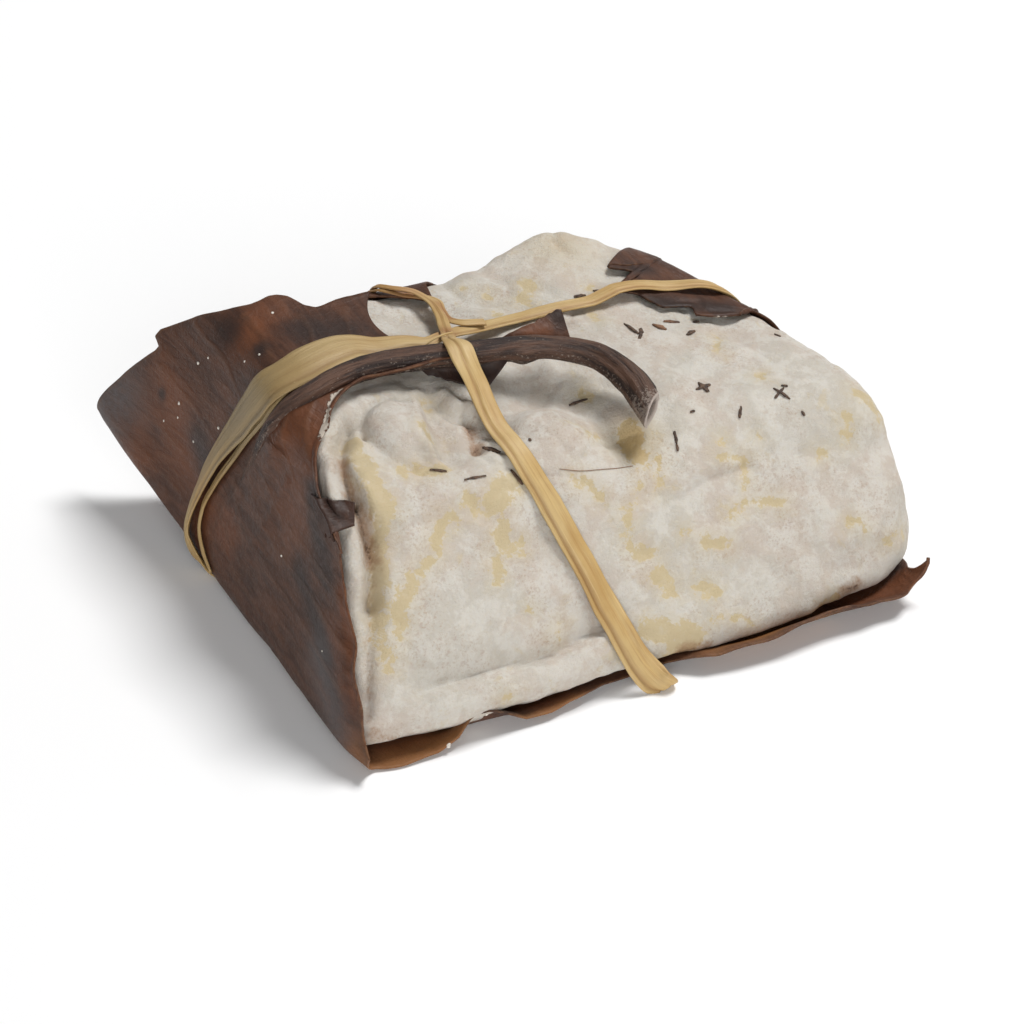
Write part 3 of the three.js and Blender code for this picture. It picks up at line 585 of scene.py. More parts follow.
paste = paint(rind_tree, PASTE, PASTE_DEEP, waxy)
skin = paint(rind_tree, bloom, PASTE, calculate(rind_tree, "MAXIMUM", halo, scaled(rind_tree, waxy, 0.7)))
skin = paint(rind_tree, skin, paste, paste_mask, 0.88)
# painted shade: each crease is darkened grey as deeply as it is pressed
skin = paint(rind_tree, skin, CREASE_SHADE_GREY, read(rind_tree, "shade"), 0.16)
# painted brown with darker cores: the leaf's stain, and painted shade in the deep crease and the hollows
skin = paint(rind_tree, skin, STAIN_AND_SHADE_BROWN, step(rind_tree, stain_and_shade_here, -0.9, 0.4), 0.7)
skin = paint(rind_tree, skin, STAIN_AND_SHADE_DARK, step(rind_tree, stain_and_shade_here, 0.15, 0.8), 0.9)
rind_tree.links.new(skin, rind_shader.inputs["Base Color"])
rind_tree.links.new(step(rind_tree, paste_mask, 0, 1, 0.85, 0.5), rind_shader.inputs["Roughness"])
rind_height = combined(rind_tree, scaled(rind_tree, fine, 0.5), (paste_mask, -0.3), (ragged, 1.2))
rind_tree.links.new(bump(rind_tree, rind_height, RIND_BUMP), rind_shader.inputs["Normal"])
rind_shader.inputs["Specular IOR Level"].default_value = 0.35
rind_shader.inputs["Subsurface Weight"].default_value = 0.12
rind_shader.inputs["Subsurface Radius"].default_value = (1.0, 0.7, 0.45)
rind_shader.inputs["Subsurface Scale"].default_value = RIND_DEPTH * MILLIMETRE

block = new_piece(
    "cheese_block",
    block_places,
    block_quads,
    rind_finish,
    {"bare": bare, "stain_and_shade": stain_and_shade, "tint": tint, "shade": crease_shade},
)
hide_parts("cheese")

# The wrapping leaf: one broad dried leaf, dark brown and leathery. The parcel stands on it, and its
# base climbs the left end and folds over the top, where its midrib runs out under the knot.
LEAF_THICKNESS = 0.4
LEAF_GAP = 0.55  # from the block to the leaf's middle surface
TABLE_GAP = 0.25


def guide(rows):
    """A smooth curve through places given as station, x, y, z: a cubic between each two, with the slope at
    a place taken from the chord between its neighbours."""
    table = np.array(rows, float)
    stations, places = table[:, 0], table[:, 1:]
    order = np.arange(len(table))
    before, after = np.maximum(order - 1, 0), np.minimum(order + 1, len(table) - 1)
    slopes = (places[after] - places[before]) / (stations[after] - stations[before])[:, None]

    def curve(station):
        i = np.clip(np.searchsorted(stations, station) - 1, 0, len(table) - 2)
        span = (stations[i + 1] - stations[i])[..., None]
        t = (station - stations[i])[..., None] / span
        return (
            places[i] * (1 + 2 * t) * (1 - t) ** 2
            + slopes[i] * span * t * (1 - t) ** 2
            + places[i + 1] * t * t * (3 - 2 * t)
            + slopes[i + 1] * span * t * t * (t - 1)
        )

    return curve


def drape_over(place, softness):
    """A leaf's place, moved out of the block and above the table: the greater of its own distance from the
    heart and the block's, blended over the softness."""
    away = place - HEART
    own = np.linalg.norm(away, axis=-1)
    direction = away / own[..., None]
    least = block_radius(direction, LEAF_GAP, True)
    draped = HEART + direction * ((own + least + np.hypot(own - least, softness)) / 2)[..., None]
    draped[..., 2] = np.maximum(draped[..., 2], TABLE_GAP + groove_at(draped[..., 0], draped[..., 1]))
    return draped


def grid_normals(middle):
    """Unit normals of a grid of places: the cross product of its two central differences."""
    normal = np.cross(np.gradient(middle, axis=0), np.gradient(middle, axis=1))
    return normal / np.maximum(1e-9, np.linalg.norm(normal, axis=-1, keepdims=True))


def sheet_mesh(middle, thickness):
    """A closed thin sheet: the grid moved half its thickness out and in along its normals, and a rim."""
    rows, columns = middle.shape[:2]
    offset = grid_normals(middle) * (np.broadcast_to(thickness, (rows, columns)) / 2)[..., None]
    points = np.concatenate([(middle + offset).reshape(-1, 3), (middle - offset).reshape(-1, 3)])
    number = np.arange(rows * columns).reshape(rows, columns)
    ring = [number[:-1, :-1], number[1:, :-1], number[1:, 1:], number[:-1, 1:]]
    outer = np.stack(ring, -1).reshape(-1, 4)
    inner = outer[:, ::-1] + rows * columns
    rim = np.concatenate([number[:-1, 0], number[-1, :-1], number[:0:-1, -1], number[0, :0:-1]])
    next_on_rim = np.roll(rim, -1)
    wall = np.stack([next_on_rim, rim, rim + rows * columns, next_on_rim + rows * columns], 1)
    return points, np.concatenate([outer, inner, wall])


# Three lengthwise lines of the leaf. Station 0 is its curled tip at the right, 5 the parcel's left
# bottom edge, 8 the left shoulder and 11 the end beside the knot.
wrap_front = guide(
    [
        [-0.5, 33.3, -34.2, 5.5],
        [-0.3, 33.0, -34.5, 4.7],
        [0, 31.9, -34.5, 3.3],
        [0.6, 29.2, -34.0, 1.3],
        [1.2, 25.2, -33.1, 0.9],
        [2.4, 10, -33.0, 0.9],
        [3.2, -2, -31.9, 0.5],
        [4.2, -19.5, -32.6, 0.3],
        [4.8, -33, -33, 0.35],
        [5.1, -37.5, -31.4, 1],
        [5.8, -36.7, -29, 7.5],
        [6.9, -34.4, -22.5, 17],
        [7.5, -33.4, -16.5, 22.3],
        [8, -31.6, -10.5, 25.8],
        [8.6, -27.5, -5.5, 28.2],
        [9.3, -21.5, -2.7, 28.9],
        [11, -10.6, -3.2, 29.1],
    ]
)
wrap_middle = guide(
    [
        [-0.5, 33.33, -34.15, 5.53],
        [-0.3, 33.1, -34.3, 4.85],
        [0, 32.2, -33.6, 3.4],
        [1.2, 30, -24, 0.3],
        [2.4, 10, -12, 0.3],
        [4.2, -20, -4, 0.3],
        [4.9, -34, 6, 0.4],
        [5.2, -35.6, 8, 1.6],
        [6, -34.4, 9, 8],
        [7.2, -32.2, 5, 20.5],
        [8, -30, 4.5, 27.3],
        [8.6, -26.5, 5, 29.2],
        [11, -15.2, 5.8, 28.9],
    ]
)
wrap_back = guide(
    [
        [-0.5, 33.36, -34.1, 5.56],
        [-0.3, 33.2, -34, 5],
        [0, 32.3, -32.6, 3.6],
        [0.6, 34.4, -26.5, 1.2],
        [1.2, 35, -15, 0.3],
        [2.4, 14, 6, 0.3],
        [3.4, -8, 16, 0.4],
        [4.3, -24, 26, 3],
        [4.9, -35, 33.5, 8.5],
        [5.2, -37.8, 36.4, 10.6],
        [6.2, -35.2, 33.4, 16.1],
        [7, -33, 29.2, 21],
        [8, -30.2, 23.5, 26.5],
        [8.7, -27.5, 18.3, 29.4],
        [9.6, -22, 17, 29.9],
        [10.2, -18.5, 13.8, 29.6],
        [11, -11.8, 14.6, 29.5],
    ]
)
# The leaf's uneven margins: at each station, where the front margin and the back one end across it
FRONT_MARGIN = [
    [-0.5, 0], [5, 0], [5.3, -0.03], [5.5, -0.015], [7.1, -0.012], [7.3, -0.05], [7.42, -0.11],
    [7.53, -0.12], [7.6, -0.02], [8.1, -0.02], [8.3, -0.055], [8.5, -0.11], [8.6, -0.06], [8.9, -0.04],
    [9.3, -0.042], [9.5, -0.08], [9.8, -0.1], [11, -0.06],
]
BACK_MARGIN = [
    [-0.5, 1], [6.2, 1], [6.6, 0.992], [6.98, 0.985], [7.08, 0.99], [7.16, 1.03], [7.35, 1.04],
    [7.6, 1.028], [8, 1.008], [8.7, 0.998], [8.95, 0.984], [9.15, 0.99], [9.35, 1.006], [9.5, 1.004],
    [9.65, 0.985], [9.85, 0.93], [10.05, 0.935], [10.3, 0.99], [10.4, 1.004], [10.55, 1], [10.7, 0.98],
    [10.9, 0.965], [11, 0.955],
]
WRAP_SOFTNESS = 0.8
WRAP_SPANS = [(-0.5, 0.6, 30), (0.6, 4.6, 120), (4.6, 6, 60), (6, 11, 130)]  # from, to, and rows between
WRAP_COLUMNS = 104
WRAP_CROWDING = 0.65  # how much closer together the columns are at the margins


def wrap_surface(u, v):
    """The leaf's middle surface: a parabola across from the front line to the back one through the middle
    one, between its two uneven margins, then draped over the block."""
    front_end, back_end = (np.interp(u, *np.array(table).T) for table in (FRONT_MARGIN, BACK_MARGIN))
    w = (front_end + v * (back_end - front_end))[..., None]
    front, middle, back = wrap_front(u), wrap_middle(u), wrap_back(u)
    place = front * (1 - w) * (1 - 2 * w) + middle * 4 * w * (1 - w) + back * w * (2 * w - 1)
    return drape_over(place, WRAP_SOFTNESS)


def stations_of(spans):
    """Evenly spaced stations in each span, and the last span's end."""
    rows = [np.linspace(start, end, count, endpoint=False) for start, end, count in spans]
    return np.concatenate([*rows, [spans[-1][1]]])


wrap_stations = stations_of(WRAP_SPANS)
across = np.linspace(0, 1, WRAP_COLUMNS + 1)
across = across - WRAP_CROWDING * np.sin(2 * np.pi * across) / (2 * np.pi)
station_grid, across_grid = np.meshgrid(wrap_stations, across, indexing="ij")
wrap_plain = wrap_surface(station_grid, across_grid)

# The side veins, which leave the midrib on the wall and on the top
VEINS = [
    [(-35.3, 6.7, 6.6), (-35.9, 2.7, 5), (-36.7, -5, 4.6), (-37.4, -13.4, 4.7)],
    [(-34.7, 8.2, 9), (-35.4, 2.9, 7.3), (-36.5, -7.2, 6.8), (-37.6, -19.2, 6.3), (-38.2, -24.6, 5.2)],
    [(-34.1, 6.2, 13.2), (-34.8, 2.1, 11), (-35.7, -6.1, 9.9), (-36.7, -16, 9.3), (-37.4, -26.7, 7.6)],
    [(-33.4, 3.5, 17.7), (-34.2, 0.7, 14.9), (-35.1, -6.1, 13), (-36, -16, 13), (-36.3, -25.8, 11.8)],
    [(-32.6, 0, 23.2), (-33.5, -0.9, 18.8), (-34.4, -6, 16.6), (-35.1, -15.2, 16.7), (-35.2, -22.7, 16)],
    [(-31.2, -2.9, 27.5), (-32.7, -4.2, 24.1), (-33.7, -8.5, 21.5), (-34.2, -15.1, 21.4)],
    [(-28.2, -3.4, 28.9), (-30.8, -5.8, 27.5), (-32.3, -9.2, 25.9), (-32.8, -12.2, 25.1)],
    [(-35.4, 7.8, 5.6), (-35.3, 13.9, 6.1), (-35.6, 21.4, 7.6), (-36.5, 29.1, 9.4), (-37.5, 34, 10.6)],
    [(-34.6, 8.1, 9.6), (-34.3, 14.2, 11.3), (-34.5, 23, 12.6), (-35.8, 31.5, 13.4)],
    [(-33.9, 5.8, 14), (-33.4, 11, 16.4), (-33.1, 18.4, 18.5), (-33.5, 27.1, 19.6)],
    [(-32.9, 1.1, 21.6), (-31.8, 7.5, 23.6), (-30.9, 14.3, 25.8), (-30.6, 22.7, 26.3)],
    [(-31.2, -2.9, 27.5), (-29.4, 3.1, 28.9), (-27.5, 11.4, 29.5), (-27.4, 15.9, 29.5)],
    [(-27.7, -3.4, 29.4), (-24.8, 2.9, 29.6), (-22.6, 9, 29.9), (-22.2, 12.4, 30)],
    [(-23.5, -2.5, 30.4), (-19.9, 4.1, 29.6), (-17.9, 9, 29.7), (-16.7, 11.9, 29.8)],
]
# Where the blade is orange-brown and where it is nearly black: reach, and the line
WARM_SPOTS = [
    (6.5, [(-33.8, 23.5, 16.8), (-34, 18.6, 14)]),
    (5, [(-36.2, 28.3, 9.7)]),
    (5, [(-31.9, -4.7, 26.4), (-32.8, -9.2, 24.2), (-34, -9, 19)]),
    (1.5, [(-34.4, -22.6, 16.9), (-35.5, -25.8, 12.8), (-36.7, -29.1, 7.5)]),
    (3.2, [(-36.8, -22.3, 11.1), (-37.9, -26.4, 6.2)]),
    (5, [(-28, 13.5, 29.2)]),
    (4, [(-34.2, 14, 9.6), (-34.8, 6, 8)]),
    (3, [(-37.6, -29, 1.5), (-26, -32.5, 0.5), (-14, -32.5, 0.5)]),
    (3.5, [(26, -32, 1), (33, -33, 3)]),
]
DARK_SPOTS = [
    (2.6, [(-33.6, -12.6, 23.2), (-34.7, -15.1, 19.6), (-35, -19, 16.6)]),
    (4, [(-23.6, 9.5, 29.9), (-19, 7.4, 29.7)]),
    (1.6, [(-28.6, 9.1, 29)]),
    (2.2, [(-35.4, -12.1, 13.6), (-36.4, -19.7, 10.8), (-37.4, -26.4, 5.8)]),
    (3.4, [(-29.2, 16.2, 28.3)]),
    (3.4, [(-34, 13.2, 12.8), (-33.7, 16.3, 15.1)]),
    (1.2, [(-34, 25.3, 16.8)]),
    (2.6, [(-25, -32.6, 3), (-19, -33.4, 1)]),
    (2.2, [(16, 3.4, 26), (20, 0.4, 25.4), (26, -2, 24)]),
    (1.6, [(16, 8.6, 27), (19, 8.4, 26.4), (22, 8.6, 25.8)]),
]
# Painted sheen: the leaf's left tip and the foot of the wall are greyed where they would reflect the white
# room
PAINTED_SHEEN_SPOTS = [
    (5, [(-38.4, 36.6, 10.8), (-37, 33.5, 13)]),
    (3, [(-36.8, -21, 8), (-37.8, -27, 3)]),
]
# Yellower, paler places: the inner face of the lip, and the torn rim below the stalk
PALE_SPOTS = [
    (2.6, [(-37.4, -31, 0.8), (-33, -32.5, 0.5), (-27, -32.2, 1.2)]),
    (1.2, [(-19, -33.6, 1.5), (-12, -33.4, 1.2)]),
    (2, [(5, -33, 1), (20, -33, 1)]),
]
# White mould caught on the leaf: along its torn rim and on the ragged edge of the flap
MOULD_SPOTS = [
    (0.6, [(-30.2, -9, 27), (-28.4, -6.6, 28.2), (-26.4, -4.4, 28.8), (-21.6, -3.3, 28.9)]),
    (0.4, [(-32.4, -14, 23.8), (-31.4, -11, 25.6)]),
    (0.45, [(17.8, 0.2, 25.4), (21, -0.9, 25.1)]),
    (0.45, [(20.9, -2.7, 24.9), (25, -3.9, 24.3)]),
    (0.5, [(-26.8, -33.4, 0.8)]),
    (0.4, [(-23.6, -32.6, 2.6)]),
]


def spread(points, spots):
    """How strongly soft-edged spots lie on each point: the highest of their bells."""
    strongest = np.zeros(points.shape[:-1])
    for reach, line in spots:
        strongest = np.maximum(strongest, bell(distance_to_line(points, line), reach))
    return strongest


def crinkles(points, seed):
    """The leaf's dried unevenness: broad waves, folds where the noise changes sign, and a fine grain."""
    folds = np.clip(1 - 4 * np.abs(cloud(points, 16, seed, 1)), 0, 1)
    return 0.45 * cloud(points, 12, seed + 5) + 0.2 * folds + 0.04 * cloud(points, 2.2, seed + 9)


FAR_FROM_VEIN = 9.0
WALL_VEINS = 5  # the first of them, which stand out as folds
WALL_VEIN_RISE, VEIN_RISE, VEIN_WIDTH = 0.22, 0.06, 1.1
VEIN_WAVER = [(0.4, 5, 29)]
wrap_vein = np.full(wrap_plain.shape[:2], FAR_FROM_VEIN)
wrap_fold = np.zeros(wrap_plain.shape[:2])
for index, line in enumerate(VEINS):
    own = distance_to_line(wrap_plain, line) * (1 + unevenness(wrap_plain, VEIN_WAVER))
    wrap_vein = np.minimum(wrap_vein, own)
    vein_rise = WALL_VEIN_RISE if index < WALL_VEINS else VEIN_RISE
    wrap_fold = np.maximum(wrap_fold, vein_rise * bell(own, VEIN_WIDTH))
# Folds that run down from the midrib to where the raffia draws the leaf in
GATHERS = [
    [(-31.8, -3.6, 25.6), (-33.4, 0.4, 18.4), (-34.9, 5.6, 9.6), (-35.8, 7, 4.4)],
    [(-32.2, -1.6, 24), (-33.6, 4.4, 15.4), (-34.8, 9.2, 8), (-35.6, 8.6, 4)],
    [(-33.2, -6, 21), (-34.6, -2, 12.6), (-35.7, 2.4, 6)],
]
GATHER_RISE, GATHER_WIDTH = 0.5, 0.7
for line in GATHERS:
    wrap_fold = np.maximum(wrap_fold, GATHER_RISE * bell(distance_to_line(wrap_plain, line), GATHER_WIDTH))
# the blade is crinkled where it stands free, nearly flat where the parcel lies on it, and its front
# margin curls outward on the wall and on the top
off_the_table = 0.15 + 0.85 * smoothstep(4.9, 5.4, station_grid)
rise = (0.15 + crinkles(wrap_plain, 21)) * off_the_table
rise = rise + wrap_fold * (0.7 + 0.5 * cloud(wrap_plain, 8, 27))
curled = smoothstep(0.07, 0, across_grid) * smoothstep(5.3, 5.8, station_grid)
rise = rise + curled * (0.55 + 0.5 * cloud(wrap_plain, 3, 25))
wrap_places = wrap_plain + grid_normals(wrap_plain) * rise[..., None]
# The lip in front of the block: X, how far its margin rises and how far it leans back, or forward below 0
LIP_RISE = [
    (-38, 0, 0), (-33, 0.1, 0.1), (-29.5, 0.4, 0), (-27, 1.4, 0.3), (-25, 3.1, 0.8), (-23.2, 3.0, 0.5),
    (-21, 2.1, 0), (-18.9, 1.2, -0.5), (-16, 1.0, -0.8), (-13, 0.9, -0.4), (-10.6, 0.7, -0.2),
    (-8.5, 0.2, 0.4), (0, 0.1, 0.6), (1.6, 0.8, -0.6), (4, 1.6, -1.9), (12, 2.1, -2.3), (19, 2.6, -2.1),
    (24, 2.1, -2.5), (30, 1.5, -1.9), (33, 0.3, -0.3),
]
LIP_WAVE_UP = [(0.35, 3.4, 31)]
LIP_WAVE_BACK = [(0.3, 4, 33)]
under_block = smoothstep(4.97, 4.7, station_grid) * smoothstep(0, 0.8, station_grid)
lip = smoothstep(0.06, 0.004, across_grid) * under_block
lip_x, lip_up, lip_back = np.array(LIP_RISE).T
margin_x = wrap_plain[..., 0]
wrap_places[..., 2] += lip * (np.interp(margin_x, lip_x, lip_up) + unevenness(wrap_plain, LIP_WAVE_UP))
wrap_places[..., 1] += lip * (np.interp(margin_x, lip_x, lip_back) + unevenness(wrap_plain, LIP_WAVE_BACK))
wrap_places[..., 2] = np.maximum(wrap_places[..., 2], LEAF_THICKNESS / 2)
edge_share = np.minimum(across_grid, 1 - across_grid)
wrap_thickness = LEAF_THICKNESS * (0.5 + 0.5 * smoothstep(0, 0.03, edge_share))
wrap_points, wrap_faces = sheet_mesh(wrap_places, wrap_thickness)


def leaf_attributes(middle, vein, edge):
    """The leaf's patterns on both of its faces: distances to a vein and to the margin, and the spots."""
    layers = {"vein": vein, "edge": edge}
    for name, spots in LEAF_SPOTS.items():
        layers[name] = spread(middle, spots)
    return {name: np.concatenate([values.ravel(), values.ravel()]) for name, values in layers.items()}


LEAF_SPOTS = {
    "warm": WARM_SPOTS,
    "dark": DARK_SPOTS,
    "painted_sheen": PAINTED_SHEEN_SPOTS,
    "pale": PALE_SPOTS,
    "mould": MOULD_SPOTS,
}
LEAF_PATTERNS = ("vein", "edge", *LEAF_SPOTS)
LEAF_DEEP = linear(70, 46, 35)
LEAF_BROWN = linear(90, 60, 45)
LEAF_ORANGE = linear(118, 70, 43)
LEAF_BLACK = linear(48, 40, 38)
LEAF_GRAIN = linear(120, 94, 76)
LEAF_OLIVE = linear(150, 104, 62)
LEAF_SHEEN_GREY = linear(96, 92, 92)
LEAF_RIB = linear(120, 86, 64)
LEAF_FRAYED = linear(134, 96, 66)
LEAF_MOULD = linear(200, 190, 176)


def new_group(name, inputs, outputs):
    """An empty shader node group with those sockets, each given as name and kind."""
    group = bpy.data.node_groups.new(name, "ShaderNodeTree")
    for in_out, sockets in (("INPUT", inputs), ("OUTPUT", outputs)):
        for socket, kind in sockets.items():
            group.interface.new_socket(socket, in_out=in_out, socket_type="NodeSocket" + kind)
    return group, group.nodes.new("NodeGroupInput").outputs, group.nodes.new("NodeGroupOutput").inputs


def dry_leaf_group():
    """Dried leaf as a node group: chocolate brown that drifts to orange-brown and near black in streaks
    that follow the side veins, the veins themselves, a net of small veins, and specks of white mould."""
    outputs = {"Color": "Color", "Roughness": "Float", "Height": "Float"}
    group, given, out = new_group("dry_leaf", dict.fromkeys(LEAF_PATTERNS, "Float"), outputs)
    place = in_millimetres(group)
    drawn_out = {"Vector": place, "Rotation": (0.2, 0, 0.1), "Scale": (1, 0.16, 1)}
    streaks = noise(group, wire(group, "ShaderNodeMapping", drawn_out).outputs[0], 0.9, 6, 0.6, 0.3)
    drift = noise(group, place, 0.09, 6, 0.6, 0.6)
    grain = noise(group, place, 1.4, 8, 0.7)
    warm = combined(group, -0.7, (drift, 1.0), (given["warm"], 0.6), (streaks, 0.3))
    dark = combined(group, -0.05, (grain, 0.4), (given["dark"], 0.85), (streaks, -0.3))
    colour = paint(group, LEAF_DEEP, LEAF_BROWN, step(group, streaks, 0.36, 0.64))
    colour = paint(group, colour, LEAF_ORANGE, step(group, warm, -0.1, 0.95), 0.85)
    colour = paint(group, colour, LEAF_BLACK, step(group, dark, 0.1, 0.95), 0.85)
    colour = paint(group, colour, LEAF_GRAIN, step(group, grain, 0.52, 0.75), 0.14)
    colour = paint(group, colour, LEAF_OLIVE, given["pale"], step(group, drift, 0.3, 0.7, 0.95, 0.6))
    # painted sheen: grey over the left tip and the foot of the wall
    colour = paint(group, colour, LEAF_SHEEN_GREY, given["painted_sheen"], step(group, grain, 0.3, 0.7, 0.5, 0.9))
    crown = step(group, given["vein"], 0.6, 0.1)
    colour = paint(group, colour, LEAF_RIB, crown, 0.16)
    frayed = scaled(group, step(group, given["edge"], 0.5, 0.1), step(group, grain, 0.42, 0.6))
    colour = paint(group, colour, LEAF_FRAYED, frayed, 0.35)
    mouldy = combined(group, -0.72, (given["mould"], 0.7), (grain, 1.6))
    mouldy = scaled(group, step(group, mouldy, 0.38, 0.52), step(group, given["mould"], 0.2, 0.5))
    colour = paint(group, colour, LEAF_MOULD, mouldy, 0.85)
    cells = {"Vector": place, "Scale": 0.75, "Randomness": 1.0}
    net = wire(group, "ShaderNodeTexVoronoi", cells, feature="DISTANCE_TO_EDGE").outputs["Distance"]
    net = step(group, net, 0.1, 0.0)
    height = scaled(group, grain, 0.22)
    height = combined(group, height, (crown, 0.2), (streaks, 0.45), (mouldy, 0.3), (net, 0.04))
    group.links.new(colour, out["Color"])
    group.links.new(step(group, grain, 0.35, 0.65, 0.4, 0.55), out["Roughness"])
    group.links.new(height, out["Height"])
    return group


DRY_LEAF = dry_leaf_group()


def leaf_finish(name, strength):
    """A material of dried leaf; strength is its relief in millimetres."""
    material, tree, shader = new_material(name)
    leaf = tree.nodes.new("ShaderNodeGroup")
    leaf.node_tree = DRY_LEAF
    for pattern in LEAF_PATTERNS:
        tree.links.new(read(tree, pattern), leaf.inputs[pattern])
    tree.links.new(leaf.outputs["Color"], shader.inputs["Base Color"])
    tree.links.new(leaf.outputs["Roughness"], shader.inputs["Roughness"])
    tree.links.new(bump(tree, leaf.outputs["Height"], strength), shader.inputs["Normal"])
    shader.inputs["Specular IOR Level"].default_value = 0.2
    return material


WRAP_WIDTH = 40
wrap = new_piece(
    "wrapping_leaf",
    wrap_points,
    wrap_faces,
    leaf_finish("dried_leaf", 0.35),
    leaf_attributes(wrap_places, wrap_vein, edge_share * WRAP_WIDTH),
)
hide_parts("leaf_wrap")

# The leaf's midrib and stalk: a woody rib that climbs the wall, leaves the blade beside the knot and
# ends over the block as a free, ridged stalk with a pale cut end.
STALK_PLACES = [
    [-34.9, 8.3, 6],
    [-34.4, 8.2, 9],
    [-33.8, 6.6, 12.6],
    [-32.8, 2.6, 20],
    [-31.9, -1.4, 26.5],
    [-28.9, -2.6, 29.1],
    [-22, -1.5, 29.7],
    [-14.8, -2.2, 29.5],
    [-7.9, -3.7, 29.2],
    [-0.6, -5.6, 28.7],
    [4, -9.4, 27.9],
    [5.5, -14.4, 26.8],
    [5.3, -18.9, 25.4],
]


STEPS_A_PIECE = 40


def smooth_line(places, count, closed=False):
    """Evenly spaced places on a centripetal Catmull-Rom curve: each piece a cubic whose slopes come from the
    chords beside it, weighted by the square roots of their lengths. Further columns follow the places."""
    given = np.array(places, float)
    if closed:
        padded = np.concatenate([given[-1:], given, given[:2]])
    else:
        padded = np.concatenate([[2 * given[0] - given[1]], given, [2 * given[-1] - given[-2]]])
    p0, p1, p2, p3 = padded[:-3], padded[1:-2], padded[2:-1], padded[3:]
    chords = ((p0, p1), (p1, p2), (p2, p3))
    d0, d1, d2 = (np.sqrt(np.linalg.norm((b - a)[:, :3], axis=1))[:, None] for a, b in chords)
    slope_start = ((p1 - p0) / d0 - (p2 - p0) / (d0 + d1) + (p2 - p1) / d1) * d1
    slope_end = ((p2 - p1) / d1 - (p3 - p1) / (d1 + d2) + (p3 - p2) / d2) * d1
    t = np.linspace(0, 1, STEPS_A_PIECE, endpoint=False)[None, :, None]
    pieces = (
        p1[:, None] * (1 + 2 * t) * (1 - t) ** 2
        + slope_start[:, None] * t * (1 - t) ** 2
        + p2[:, None] * t * t * (3 - 2 * t)
        + slope_end[:, None] * t * t * (t - 1)
    ).reshape(-1, given.shape[1])
    dense = np.concatenate([pieces, p2[-1:]])
    length = np.concatenate([[0], np.cumsum(np.linalg.norm(np.diff(dense[:, :3], axis=0), axis=1))])
    wanted = np.linspace(0, length[-1], count, endpoint=not closed)
    return np.stack([np.interp(wanted, length, column) for column in dense.T], 1)


def run_of(line):
    """Distance covered along a line at each of its places."""
    return np.concatenate([[0], np.cumsum(np.linalg.norm(np.diff(line, axis=0), axis=1))])


END_RINGS = [(0.94, -0.06), (0.8, -0.02), (0.5, 0.22), (0.2, 0.3)]  # share of the radius, depth inwards


def ring_quads(rows, sides):
    """The numbers of the points of a stack of rings, and the quads between each ring and the next."""
    number = np.arange(rows * sides).reshape(rows, sides)
    beside = np.roll(number, -1, 1)
    return number, np.stack([number[:-1], number[1:], beside[1:], beside[:-1]], -1).reshape(-1, 4)


def tube_mesh(line, radius, sides):
    """A closed tube: rings of that radius (over rings and sides) square to the line, with hollowed ends.
    Also returns each place's own coordinates: along it, and round it on a circle of its radius."""
    along = np.gradient(line, axis=0)
    along /= np.linalg.norm(along, axis=1, keepdims=True)
    side = np.cross(along, np.array([0.0, 0.0, 1.0]))
    side /= np.linalg.norm(side, axis=1, keepdims=True)
    top = np.cross(side, along)
    angle = np.linspace(0, 2 * np.pi, sides, endpoint=False)
    ring = side[:, None] * np.cos(angle)[None, :, None] + top[:, None] * np.sin(angle)[None, :, None]
    offset = ring * np.broadcast_to(radius, (len(line), sides))[..., None]
    starts = [line[0] + offset[0] * share + along[0] * depth for share, depth in END_RINGS[::-1]]
    ends = [line[-1] + offset[-1] * share - along[-1] * depth for share, depth in END_RINGS]
    rows = np.concatenate([starts, line[:, None] + offset, ends])
    # the end rings lie at the tube's first and last place, as far as its own coordinates go
    own = np.clip(np.arange(len(rows)) - len(END_RINGS), 0, len(line) - 1)
    distance = run_of(line)[own]
    laid_along = np.broadcast_to(distance[:, None], rows.shape[:2])
    laid_side = (offset[own] * side[own][:, None]).sum(-1)
    laid_top = (offset[own] * top[own][:, None]).sum(-1)
    laid = np.stack([laid_along, laid_side, laid_top], -1).reshape(-1, 3)
    laid = np.concatenate([laid, [[0, 0, 0], [distance[-1], 0, 0]]])
    number, quads = ring_quads(len(rows), sides)
    beside = np.roll(number, -1, 1)
    first, last = np.full(sides, number.size), np.full(sides, number.size + 1)
    first_cap = np.stack([first, number[0], beside[0]], 1)
    last_cap = np.stack([last, beside[-1], number[-1]], 1)
    points = np.concatenate([rows.reshape(-1, 3), [rows[0].mean(0), rows[-1].mean(0)]])
    return points, [quads, np.concatenate([first_cap, last_cap])], laid


STALK_RINGS, STALK_SIDES = 300, 40
# the stalk's radius at its foot, and what it gains on the wall and again towards its end
STALK_THIN, STALK_SWELL, STALK_END_SWELL = 0.35, 0.95, 0.42
STALK_TWIST = 1.6
BUMP_AT, BUMP_LENGTH, BUMP_HEIGHT, BUMP_TURN = 0.745, 0.02, 0.5, 0.5  # a worn bump below the middle
stalk_line = smooth_line(STALK_PLACES, STALK_RINGS)
stalk_length = run_of(stalk_line)[-1]
reach = np.linspace(0, 1, STALK_RINGS)[:, None]
turn = np.linspace(0, 2 * np.pi, STALK_SIDES, endpoint=False)[None, :]
stalk_radius = STALK_THIN + STALK_SWELL * smoothstep(0.08, 0.5, reach)
stalk_radius += STALK_END_SWELL * smoothstep(0.76, 0.97, reach)
twisted = turn + STALK_TWIST * reach
around_it = np.stack([reach * 62 + 0 * turn, np.cos(twisted) * 3, np.sin(twisted) * 3], -1)
